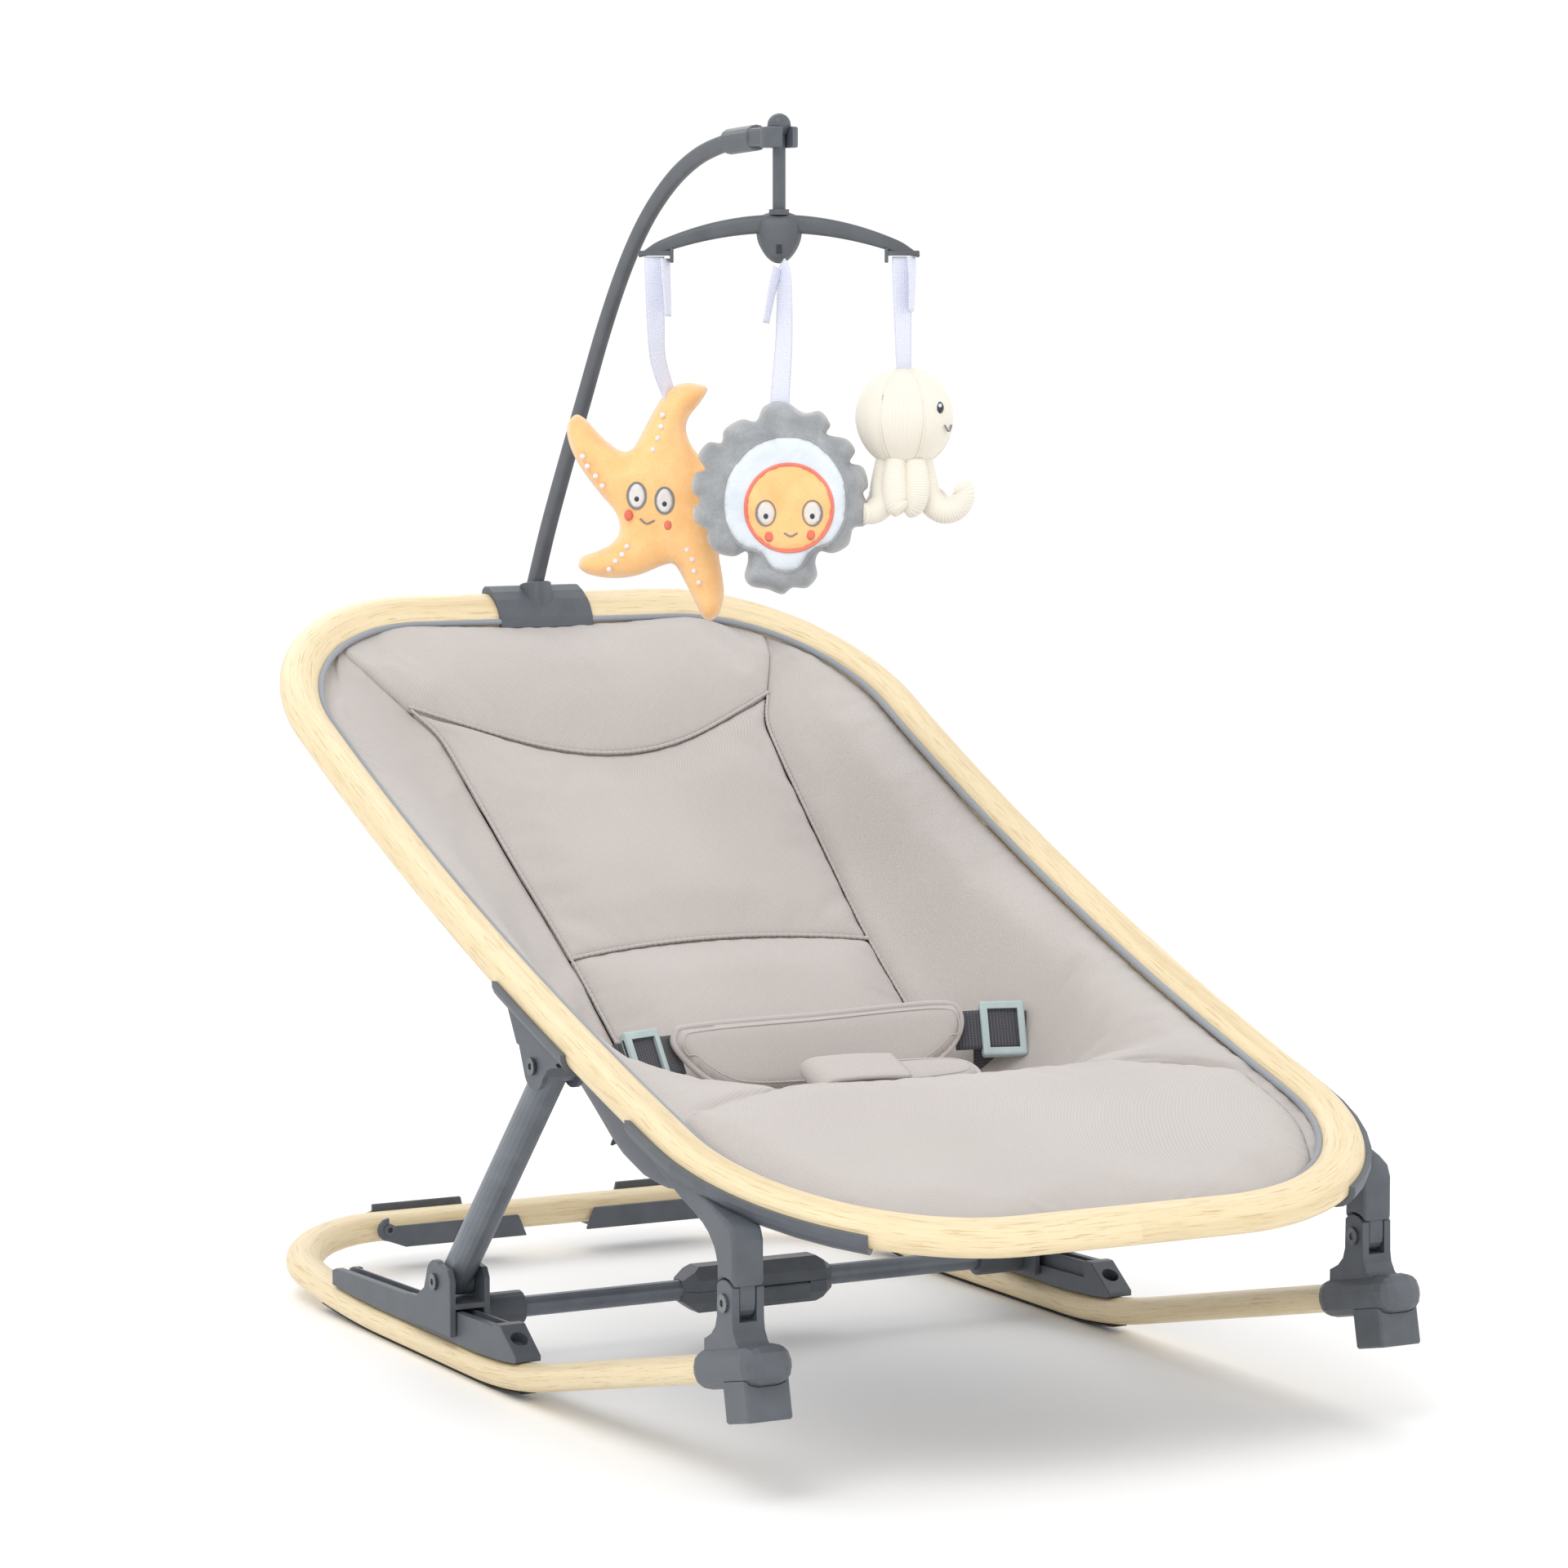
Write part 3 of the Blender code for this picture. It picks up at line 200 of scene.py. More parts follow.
def plastic_material(name, dark, light, roughness=0.46, metallic=0.0, grain=0.0006):
    """Moulded plastic or powder coat: fine spark grain and faint mottling."""
    light, dark = linear(*light), linear(*dark)
    material, tree, shader = new_material(name, roughness, metallic)
    place = coordinates(tree, "Object")
    mottle = tex_noise(tree, place, 60, 3)
    colour = blend_colour(tree, mask(tree, mottle, 0.3, 0.75), dark, light)
    tree.links.new(colour, shader.inputs["Base Color"])
    rough = tree.nodes.new("ShaderNodeMapRange")
    rough.inputs["To Min"].default_value = roughness - 0.06
    rough.inputs["To Max"].default_value = roughness + 0.10
    tree.links.new(mottle, rough.inputs["Value"])
    tree.links.new(rough.outputs["Result"], shader.inputs["Roughness"])
    add_bump(tree, shader, tex_noise(tree, place, 1 / grain, 2), 0.18, 0.00025)
    return material


def plush_material(name, light, dark, scale=700, roughness=0.95, sheen=0.6):
    """Short pile: soft sheen, pile direction patches and a fine nap."""
    light, dark = linear(*light), linear(*dark)
    material, tree, shader = new_material(name, roughness, 0.0, sheen)
    place = coordinates(tree, "Object")
    nap = tex_noise(tree, place, scale, 3, 0.7)
    brushed = tex_noise(tree, place, 45, 3, 0.6, 0.4)
    colour = blend_colour(tree, mask(tree, brushed, 0.3, 0.7), dark, light)
    colour = blend_colour(tree, mask(tree, nap, 0.3, 0.6, MID), dark, colour)
    tree.links.new(colour, shader.inputs["Base Color"])
    first = add_bump(tree, shader, nap, 0.6, 0.0006)
    add_bump(tree, shader, brushed, 0.25, 0.0012, first)
    return material


def knit_material(name, light, dark, period=0.0022):
    """Fine rib knit with the ribs running up the piece."""
    light, dark = linear(*light), linear(*dark)
    material, tree, shader = new_material(name, 0.95, 0.0, 0.35)
    ribs = tex_wave(tree, coordinates(tree, "UV"), WAVE_SCALE / period, 0.5)
    loops = tex_noise(tree, coordinates(tree, "UV"), 800, 2)
    colour = blend_colour(tree, ribs, dark, light)
    tree.links.new(colour, shader.inputs["Base Color"])
    first = add_bump(tree, shader, ribs, 0.25, 0.0002)
    add_bump(tree, shader, loops, 0.25, 0.0002, first)
    return material


WARP_PERIOD = 0.0011


def webbing_material(name, light, dark, period=0.0020):
    """Narrow woven tape: cross ribs along its length and fine warp lines."""
    light, dark = linear(*light), linear(*dark)
    material, tree, shader = new_material(name, 0.8, 0.0, 0.2)
    cross = tex_wave(tree, coordinates(tree, "UV"), WAVE_SCALE / period, 0.2)
    warp = tex_wave(tree, coordinates(tree, "UV"), WAVE_SCALE / WARP_PERIOD, 0.2, "Y")
    weave = product(tree, cross, warp)
    tree.links.new(blend_colour(tree, weave, dark, light), shader.inputs["Base Color"])
    add_bump(tree, shader, weave, 0.6, 0.0004)
    return material


def smooth_material(name, light, dark, roughness, scale=120):
    """Small hard or embroidered detail with a little tone variation."""
    light, dark = linear(*light), linear(*dark)
    material, tree, shader = new_material(name, roughness)
    grain = tex_noise(tree, coordinates(tree, "Object"), scale, 2)
    tree.links.new(blend_colour(tree, grain, dark, light), shader.inputs["Base Color"])
    add_bump(tree, shader, grain, 0.15, 0.0002)
    return material


WOOD = wood_material()
LINER = twill_material("liner_twill", (207, 201, 197), (176, 169, 165))
SLING = twill_material("sling_weave", (128, 133, 142), (92, 97, 106), 0.0018, 0.85, 0.2)
BINDING = twill_material("grey_binding", (166, 171, 178), (138, 143, 151), 0.0012, 0.85, 0.2)
BOUND_EDGE = twill_material("liner_binding", (206, 199, 196), (180, 172, 169), 0.0011, 0.9, 0.3)
PLASTIC = plastic_material("slate_plastic", (78, 83, 89), (90, 95, 102))
PAINT = plastic_material("slate_powder_coat", (100, 106, 114), (116, 122, 130), 0.36, 0.35, 0.0004)
BAR_PLASTIC = plastic_material("toy_bar_plastic", (78, 82, 87), (90, 94, 100), 0.48)
RUBBER = plastic_material("grip_rubber", (44, 45, 48), (58, 59, 63), 0.8, 0.0, 0.0009)
STEEL = plastic_material("dark_steel", (92, 95, 99), (128, 131, 135), 0.32, 0.85, 0.0012)
PALE = plastic_material("pale_plastic", (163, 180, 181), (184, 199, 199), 0.4)
WEBBING = webbing_material("dark_webbing", (104, 104, 110), (58, 58, 64))
RIBBON = webbing_material("satin_ribbon", (240, 241, 250), (214, 217, 234), 0.0012)
ORANGE = plush_material("orange_plush", (255, 208, 146), (244, 184, 118))
GREY_PLUSH = plush_material("grey_plush", (172, 175, 178), (132, 135, 139))
PALE_PLUSH = plush_material("pale_blue_plush", (228, 234, 240), (208, 216, 224))
KNIT = knit_material("cream_knit", (236, 231, 219), (222, 216, 202), 0.0013)
CORAL = plush_material("coral_stitch", (240, 142, 124), (226, 118, 102), 1500, 0.8, 0.2)
GREY_THREAD = webbing_material("grey_thread", (166, 166, 166), (122, 122, 122), 0.0009)
EYE_WHITE = plush_material("eye_white", (240, 236, 233), (216, 211, 208), 1600, 0.7, 0.1)
CHEEK = plush_material("cheek_red", (238, 132, 110), (224, 108, 90), 1600, 0.8, 0.1)
PEARL = smooth_material("pearl", (246, 236, 238), (222, 208, 214), 0.18)
DARK_EYE = smooth_material("eye_dark", (30, 34, 40), (52, 66, 76), 0.25)


# Mesh helpers.
def link(name, mesh, material, body, nodes=(), smooth=True):
    """A new object from a bmesh, with its material, riding on its body."""
    data = bpy.data.meshes.new(name)
    bmesh.ops.recalc_face_normals(mesh, faces=mesh.faces)
    mesh.to_mesh(data)
    mesh.free()
    obj = bpy.data.objects.new(name, data)
    bpy.context.scene.collection.objects.link(obj)
    data.materials.append(material)
    if smooth:
        data.shade_smooth()
    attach(obj, body)
    if nodes:
        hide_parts(*nodes)
    return obj


def subdivide(obj):
    modifier = obj.modifiers.new("smooth", "SUBSURF")
    modifier.levels = 1
    modifier.render_levels = 1


def small_box(name, matrix, size, material, body, rounding, segments):
    """A block with rounded edges, for clips and slots."""
    mesh = bmesh.new()
    bmesh.ops.create_cube(mesh, size=1, matrix=matrix @ Matrix.Diagonal((*size, 1)))
    modifier = link(name, mesh, material, body, smooth=False).modifiers.new("round", "BEVEL")
    modifier.width = rounding
    modifier.segments = segments
    modifier.angle_limit = math.radians(30)
    modifier.harden_normals = True


def spline(points, per_span=6, cyclic=False):
    """A smooth curve through the points."""
    points = [Vector(p) for p in points]
    count = len(points)
    made = []
    spans = count if cyclic else count - 1
    for i in range(spans):
        if cyclic:
            a, b, c, d = (points[(i + k) % count] for k in (-1, 0, 1, 2))
        else:
            b, c = points[i], points[i + 1]
            a = points[i - 1] if i else b * 2 - c
            d = points[i + 2] if i + 2 < count else c * 2 - b
        for step in range(per_span):
            t = step / per_span
            made.append(0.5 * ((2 * b) + (c - a) * t + (2 * a - 5 * b + 4 * c - d) * t * t
                               + (3 * b - a - 3 * c + d) * t ** 3))
    if not cyclic:
        made.append(points[-1])
    return made


def run_of(path):
    return sum((b - a).length for a, b in zip(path, path[1:]))


def super_ellipse(half_width, half_height, sides=28, exponent=2.3):
    made = []
    for step in range(sides):
        c, s = math.cos(2 * math.pi * step / sides), math.sin(2 * math.pi * step / sides)
        made.append((half_width * math.copysign(abs(c) ** (2 / exponent), c),
                     half_height * math.copysign(abs(s) ** (2 / exponent), s)))
    return made


def sweep(path, section, up=Vector((0, 0, 1)), cyclic=False, scale=None, round_ends=False):
    """A closed section swept along points, with UV in metres: along, then round. up may be a list."""
    mesh = bmesh.new()
    uv = mesh.loops.layers.uv.new("UVMap")
    count = len(path)
    lengths = [0.0]
    for a, b in zip(path, path[1:]):
        lengths.append(lengths[-1] + (b - a).length)
    rings = []
    for i, point in enumerate(path):
        before = path[i - 1] if i or cyclic else point
        after = path[(i + 1) % count] if i + 1 < count or cyclic else point
        tangent = (after - before).normalized()
        top = up[i] if isinstance(up, list) else up
        across = tangent.cross(top).normalized()
        top = across.cross(tangent)
        size = scale(i / (count - 1)) if scale else 1.0
        rings.append([mesh.verts.new(point + across * (a * size) + top * (b * size)) for a, b in section])
    around = [0.0]
    for a, b in zip(section, section[1:] + section[:1]):
        around.append(around[-1] + math.dist(a, b))
    total = lengths[-1] + (path[0] - path[-1]).length
    for i in range(count if cyclic else count - 1):
        j = (i + 1) % count
        ends = (lengths[i], lengths[j] if j else total)
        for k in range(len(section)):
            n = (k + 1) % len(section)
            face = mesh.faces.new((rings[i][k], rings[i][n], rings[j][n], rings[j][k]))
            for loop, place in zip(face.loops, ((ends[0], around[k]), (ends[0], around[k + 1]),
                                                (ends[1], around[k + 1]), (ends[1], around[k]))):
                loop[uv].uv = place
    if not cyclic:
        for ring, place in ((rings[0], path[0]), (rings[-1], path[-1])):
            if round_ends:
                centre = mesh.verts.new(place)
                for k in range(len(section)):
                    mesh.faces.new((ring[k], ring[(k + 1) % len(section)], centre))
            else:
                mesh.faces.new(ring)
    return mesh


def lifted(mesh, height):
    """Raises each point of a flat-lying form by height(y)."""
    for vertex in mesh.verts:
        vertex.co.z += height(vertex.co.y)
    return mesh


def tube(name, path, radius, material, body, sides=10, cyclic=False, up=Vector((0, 0, 1)), scale=None):
    section = super_ellipse(radius, radius, sides, 2.0)
    return link(name, sweep(path, section, up, cyclic, scale), material, body)


def arc(centre, radius, start, end, steps):
    return [(centre[0] + radius * math.cos(math.radians(start + (end - start) * i / steps)),
             centre[1] + radius * math.sin(math.radians(start + (end - start) * i / steps)))
            for i in range(steps + 1)]


# Shapes shared with the CAD.
def ring_height(y):
    return 0.2623 + 0.3814 * y + 0.1945 * y ** 2 + 0.0691 * y ** 3


def rocker_height(y):
    base = 0.0100
    if y > FLAT_BACK_Y:
        return base + (y - FLAT_BACK_Y) ** 2 / 2.16
    ahead = max(0.0, FLAT_FRONT_Y - y)
    if ahead < 0.092:
        return base + 0.22 * ahead ** 2 / 0.184
    return base + 0.22 * (ahead - 0.046)


def ring_side_half(y):
    start, end = RING_FRONT_Y + RING_FRONT_R, RING_BACK_Y - RING_BACK_R
    share = min(1.0, max(0.0, (y - start) / (end - start)))
    return RING_FRONT_HALF + (RING_BACK_HALF - RING_FRONT_HALF) * share


def ring_plan(inset=0.0, corner=34, side=40):
    """Closed plan path of the ring's centre line, moved inwards by inset."""
    half = [(0, RING_FRONT_Y + inset)]
    centre = (RING_FRONT_HALF - RING_FRONT_R, RING_FRONT_Y + RING_FRONT_R)
    half += arc(centre, RING_FRONT_R - inset, -90, 0, corner)
    start, end = RING_FRONT_Y + RING_FRONT_R, RING_BACK_Y - RING_BACK_R
    for step in range(1, side):
        y = start + (end - start) * step / side
        half.append((ring_side_half(y) - inset, y))
    half += arc((RING_BACK_HALF - RING_BACK_R, RING_BACK_Y - RING_BACK_R), RING_BACK_R - inset, 0, 90, corner)
    half.append((0, RING_BACK_Y - inset))
    return half + [(-x, y) for x, y in half[-2:0:-1]]


def liner_half(y, inset=INNER):
    front, back = RING_FRONT_Y + inset, RING_BACK_Y - inset
    radius, half = RING_FRONT_R - inset, RING_FRONT_HALF - RING_FRONT_R
    if y < front + radius:
        return half + math.sqrt(max(0.0, radius ** 2 - (front + radius - y) ** 2))
    radius, half = RING_BACK_R - inset, RING_BACK_HALF - RING_BACK_R
    if y > back - radius:
        return half + math.sqrt(max(0.0, radius ** 2 - (y - back + radius) ** 2))
    return ring_side_half(y) - inset


def centre_half(y):
    return 0.107 + 0.0275 * max(0.0, (y - 0.106) / 0.185)


def smooth_step(t):
    t = min(1.0, max(0.0, t))
    return t * t * (3 - 2 * t)


def bucket_depth(y):
    if y < ROOT_Y:
        return BUCKET_DEPTH * smooth_step((y - CREST_Y) / (ROOT_Y - CREST_Y))
    return BUCKET_DEPTH * max(0.0, 1 - (y - ROOT_Y) / (HEAD_Y - ROOT_Y))


def seat_top(x, y):
    """Height of the liner's upper surface."""
    across, flat = abs(x) / max(1e-4, liner_half(y)), min(0.95, centre_half(y) / max(1e-4, liner_half(y)))
    share = 1.0 if across < flat else 0.5 * (1 + math.cos(math.pi * min(1.0, (across - flat) / (1 - flat))))
    return ring_height(y) + 0.001 - bucket_depth(y) * share


def seat_normal(x, y, step=0.004):
    dx = (seat_top(x + step, y) - seat_top(x - step, y)) / (2 * step)
    dy = (seat_top(x, y + step) - seat_top(x, y - step)) / (2 * step)
    return Vector((-dx, -dy, 1)).normalized()


SEAM_TABLE = [
    (-0.40, 0.106), (0.06, 0.1045), (0.11, 0.1055), (0.18, 0.1110), (0.25, 0.1165), (0.27, 0.1200),
    (0.29, 0.1315), (0.32, 0.1490), (0.37, 0.1660)
]


def seam_half(y):
    """Half width of the middle panels, between the two long seams."""
    index = max(i for i in range(len(SEAM_TABLE) - 1) if y >= SEAM_TABLE[i][0] or i == 0)
    (a, p), (b, q) = SEAM_TABLE[index:index + 2]
    before, after = SEAM_TABLE[max(0, index - 1)], SEAM_TABLE[min(len(SEAM_TABLE) - 1, index + 2)]
    slope_a = (q - before[1]) / (b - before[0])
    slope_b = (after[1] - p) / (after[0] - a)
    t = min(1.0, max(0.0, (y - a) / (b - a)))
    span = b - a
    return ((2 * t ** 3 - 3 * t * t + 1) * p + (t ** 3 - 2 * t * t + t) * span * slope_a
            + (3 * t * t - 2 * t ** 3) * q + (t ** 3 - t * t) * span * slope_b)


def head_seam(a):
    """Curved seam under the head panel; a runs from -1 to 1 across it."""
    return 0.2500 + 0.0400 * a * a


def lumbar_seam(a):
    return 0.1025 + 0.0085 * (1 - a * a)


CUSHION_Y, CUSHION_RUN, CUSHION_INSET = -0.1720, 0.0330, 0.0090


def cushion_half(y):
    """Half width of the front cushion, a little inside the ring."""
    inset = CUSHION_INSET * smooth_step((y + 0.3550) / 0.060) - 0.0010
    return liner_half(y, RING_A) - inset


def wing_inside(y):
    """Inner limit of a side wing: the long seam, then out round the front cushion's corner."""
    if y > CUSHION_Y:
        return seam_half(y)
    share = min(1.0, (CUSHION_Y - y) / CUSHION_RUN)
    return seam_half(y) + (cushion_half(y) - seam_half(y)) * share


def cushion_back(a):
    """Rear limit of the front cushion; a runs from -1 to 1 across it."""
    inner = seam_half(CUSHION_Y) / cushion_half(CUSHION_Y - CUSHION_RUN)
    return CUSHION_Y - CUSHION_RUN * max(0.0, (abs(a) - inner) / (1 - inner))


# Wood.
def wood_pieces():
    path = [Vector((x, y, 0)) for x, y in ring_plan()]
    ring = lifted(sweep(path, super_ellipse(RING_A, RING_B), cyclic=True), ring_height)
    link("seat_ring_wood", ring, WOOD, "seat", ["seat_hoop"])
    left = [(-RAIL_X, HOOP_FRONT_Y + (HOOP_BACK_Y - HOOP_R - HOOP_FRONT_Y) * i / 90) for i in range(91)]
    left += arc((-RAIL_X + HOOP_R, HOOP_BACK_Y - HOOP_R), HOOP_R, 180, 90, 30)[1:]
    left += [(-0.124 + 0.124 * i / 12, HOOP_BACK_Y) for i in range(1, 13)]
    plan = left + [(-x, y) for x, y in left[-2::-1]]
    path = [Vector((x, y, 0)) for x, y in plan]
    rocker = lifted(sweep(path, super_ellipse(HOOP_A, HOOP_B)), rocker_height)
    link("rocker_wood", rocker, WOOD, "base", ["base_hoop"])


# Padded liner.
CLOTH_FRAMES = 20


def swell(obj, pinned, cap):
    """Cloth with air pressure, its seam points held, then the result applied with its travel capped."""
    group = obj.vertex_groups.new(name="seam")
    group.add(pinned, 1.0, "REPLACE")
    start = [v.co.copy() for v in obj.data.vertices]
    modifier = obj.modifiers.new("cloth", "CLOTH")
    settings = modifier.settings
    for key, value in {"vertex_group_mass": "seam", "quality": 5, "mass": 0.25, "tension_stiffness": 12,
                       "compression_stiffness": 12, "bending_stiffness": 0.3, "use_pressure": True,
                       "uniform_pressure_force": 4.0, "shrink_min": -0.012}.items():
        setattr(settings, key, value)
    settings.effector_weights.gravity = 0
    scene = bpy.context.scene
    modifier.point_cache.frame_start = 1
    modifier.point_cache.frame_end = CLOTH_FRAMES
    for step in range(1, CLOTH_FRAMES + 1):
        scene.frame_set(step)
    graph = bpy.context.evaluated_depsgraph_get()
    result = [v.co.copy() for v in obj.evaluated_get(graph).data.vertices]
    obj.modifiers.remove(modifier)
    scene.frame_set(1)
    for vertex, home, there in zip(obj.data.vertices, start, result):
        move = there - home
        if move.length > cap:
            move *= cap / move.length
        vertex.co = home + move
    obj.data.update()


def pad(name, low_x, high_x, low_y, high_y, cell, node_name, crown=0.0062, cap=0.0055):
    """A padded panel of the liner. Its limits are functions: x limits of y, y limits of -1..1 across."""
    middle = 0.5 * (low_y(0) + high_y(0))
    columns = max(4, round((high_x(middle) - low_x(middle)) / cell))
    rows = max(4, round((high_y(0) - low_y(0)) / cell))
    grid = []
    for j in range(rows + 1):
        line = []
        for i in range(columns + 1):
            a = 2 * i / columns - 1
            y = low_y(a) + (high_y(a) - low_y(a)) * j / rows
            x = low_x(y) + (high_x(y) - low_x(y)) * i / columns
            line.append(Vector((x, y, seat_top(x, y))))
        grid.append(line)
    across = [[0.0] for _ in grid]
    for j, line in enumerate(grid):
        for a, b in zip(line, line[1:]):
            across[j].append(across[j][-1] + (b - a).length)
    under, seam = 0.0105, 0.0052
    along = [[0.0] * (columns + 1)]
    for j in range(rows):
        along.append([along[-1][i] + (grid[j + 1][i] - grid[j][i]).length for i in range(columns + 1)])
    mesh = bmesh.new()
    uv = mesh.loops.layers.uv.new("UVMap")
    top, low = [], []
    for j in range(rows + 1):
        top.append([])
        low.append([])
        for i in range(columns + 1):
            point = grid[j][i]
            normal = seat_normal(point.x, point.y)
            u, v = across[j][i], along[j][i]
            near = min(u, across[j][-1] - u)
            ends = min(v, along[-1][i] - v)
            edge = min(near, ends)
            run = v if near < ends else u
            pucker = 0.0008 * math.sin(run * 2 * math.pi / 0.0135 + 3 * noise.noise(point * 30))
            rise = crown * (1 - math.exp(-max(0.0, edge) / 0.016)) + pucker * math.exp(-edge / 0.010)
            rise += 0.0012 * noise.noise(point * 14) * min(1.0, edge / 0.02)
            on_edge = i in (0, columns) or j in (0, rows)
            vertex = mesh.verts.new(point + normal * (-seam + (0.0 if on_edge else seam * 0.35 + rise)))
            top[-1].append(vertex)
            if on_edge:
                low[-1].append(vertex)
            else:
                depth = seam + under * (1 - math.exp(-edge / 0.006))
                low[-1].append(mesh.verts.new(point - normal * depth))
    for j in range(rows):
        for i in range(columns):
            corners = ((j, i), (j, i + 1), (j + 1, i + 1), (j + 1, i))
            for layer, order in ((top, corners), (low, corners[::-1])):
                face = mesh.faces.new([layer[a][b] for a, b in order])
                for loop, (a, b) in zip(face.loops, order):
                    loop[uv].uv = (across[a][b], along[a][b])
    mesh.verts.index_update()
    pinned = {vertex.index for line in top for vertex in (line[0], line[-1])}
    pinned |= {vertex.index for line in (top[0], top[-1]) for vertex in line}
    obj = link(name, mesh, LINER, "seat", [node_name])
    swell(obj, sorted(pinned), cap)
    subdivide(obj)


OVERLAP = 0.0016   # neighbouring pads run this far into each other, so a seam closes as a crease
FINE_CELL, WIDE_CELL = 0.0048, 0.0052


def liner():
    def flat(value):
        return lambda a: value

    def minus(limit):
        return lambda y: -limit(y)

    def edge(y):
        return liner_half(y, RING_A) + 0.0034

    def middle(y):
        return min(seam_half(y) + OVERLAP, edge(y))

    top = RING_BACK_Y - RING_A + 0.0020
    pad("liner_head", minus(middle), middle, lambda a: head_seam(a) - OVERLAP, flat(top), FINE_CELL,
        "head_pad", 0.0074)
    pad("liner_back", minus(middle), middle, lambda a: lumbar_seam(a) - OVERLAP,
        lambda a: head_seam(a) + OVERLAP, FINE_CELL, "back_pad")
    pad("liner_lumbar", minus(middle), middle, flat(-0.0300 - OVERLAP),
        lambda a: lumbar_seam(a) + OVERLAP, FINE_CELL, "lumbar_pad", 0.0074)
    pad("liner_seat", minus(middle), middle, flat(CUSHION_Y - OVERLAP), flat(-0.0300 + OVERLAP), WIDE_CELL,
        "seat_bottom_pad", 0.0040)

    def cushion(y):
        return cushion_half(y) + OVERLAP * 0.5

    pad("liner_front", minus(cushion), cushion, flat(RING_FRONT_Y + RING_A - 0.0016),
        lambda a: cushion_back(a) + OVERLAP, 0.0050, "front_pad", 0.0060, 0.0050)
    for word, side in SIDES:
        def inside(y):
            return wing_inside(y) - OVERLAP

        low_x, high_x = (inside, edge) if side > 0 else (minus(edge), minus(inside))
        pad(f"liner_wing_{word}", low_x, high_x, flat(-0.3380), flat(0.3530), WIDE_CELL,
            f"side_wing_{word}", 0.0056)


def piping():
    path = [Vector((x, y, ring_height(y) + 0.0018)) for x, y in ring_plan(0.0136)]
    tube("liner_piping", path, 0.0021, BINDING, "seat", 10, True)


GATHER_PITCH = 0.0042


def gathers(name, points, lift=-0.0018, radius=0.0012):
    """The row of tiny tucks along a stitched seam, in the liner's own cloth."""
    path = []
    for x, y in points:
        path.append(Vector((x, y, seat_top(x, y))) + seat_normal(x, y) * lift)
    dense = []
    for a, b in zip(path, path[1:]):
        steps = max(1, round((b - a).length / (GATHER_PITCH / 6)))
        dense += [a.lerp(b, step / steps) for step in range(steps)]
    dense.append(path[-1])
    waves = round(run_of(dense) / GATHER_PITCH)
    tube(name, dense, radius, LINER, "seat", 8, False, Vector((0, 0, 1)),
         lambda t: 0.72 + 0.42 * abs(math.sin(math.pi * waves * t)))


def seams():
    across = [i / 40 - 1 for i in range(81)]
    gathers("head_seam", [(a * seam_half(head_seam(a)), head_seam(a)) for a in across])
    gathers("lumbar_seam", [(a * seam_half(lumbar_seam(a)), lumbar_seam(a)) for a in across])
    for word, side in SIDES:
        ys = [0.0400 + 0.2480 * i / 70 for i in range(71)]
        gathers(f"side_seam_{word}", [(side * seam_half(y), y) for y in ys], -0.0024, 0.0010)


def sling():
    """Grey under-layer that carries the liner, hung from the ring."""
    mesh = bmesh.new()
    uv = mesh.loops.layers.uv.new("UVMap")
    rows, columns = 90, 56
    front, back = RING_FRONT_Y + INNER + 0.0020, RING_BACK_Y - INNER - 0.0020
    grid = []
    for j in range(rows + 1):
        y = front + (back - front) * j / rows
        half = liner_half(y) - 0.0020
        line = []
        for i in range(columns + 1):
            a = 2 * i / columns - 1
            a = math.copysign(abs(a) ** 0.85, a)
            x = a * half
            sag = 0.0172 + 0.0014 * noise.noise(Vector((x, y, 0)) * 16)
            down = Vector((0, 0, -1)) if abs(a) > 0.999 else -seat_normal(x, y)
            point = Vector((x, y, seat_top(x, y))) + down * (sag if abs(a) < 0.96 else 0.0125)
            limit = min(liner_half(y) - 0.0015, 0.1890)
            point.x = max(-limit, min(limit, point.x))
            line.append(point)
        grid.append(line)
    verts = [[mesh.verts.new(p) for p in line] for line in grid]
    for j in range(rows):
        for i in range(columns):
            face = mesh.faces.new((verts[j][i], verts[j][i + 1], verts[j + 1][i + 1], verts[j + 1][i]))
            for loop, (a, b) in zip(face.loops, ((j, i), (j, i + 1), (j + 1, i + 1), (j + 1, i))):
                loop[uv].uv = (grid[a][b].x, grid[a][b].y * 1.15)
    obj = link("sling_cloth", mesh, SLING, "seat", ["seat_sling"])
    solid = obj.modifiers.new("thickness", "SOLIDIFY")
    solid.thickness = 0.0014
    solid.offset = 0


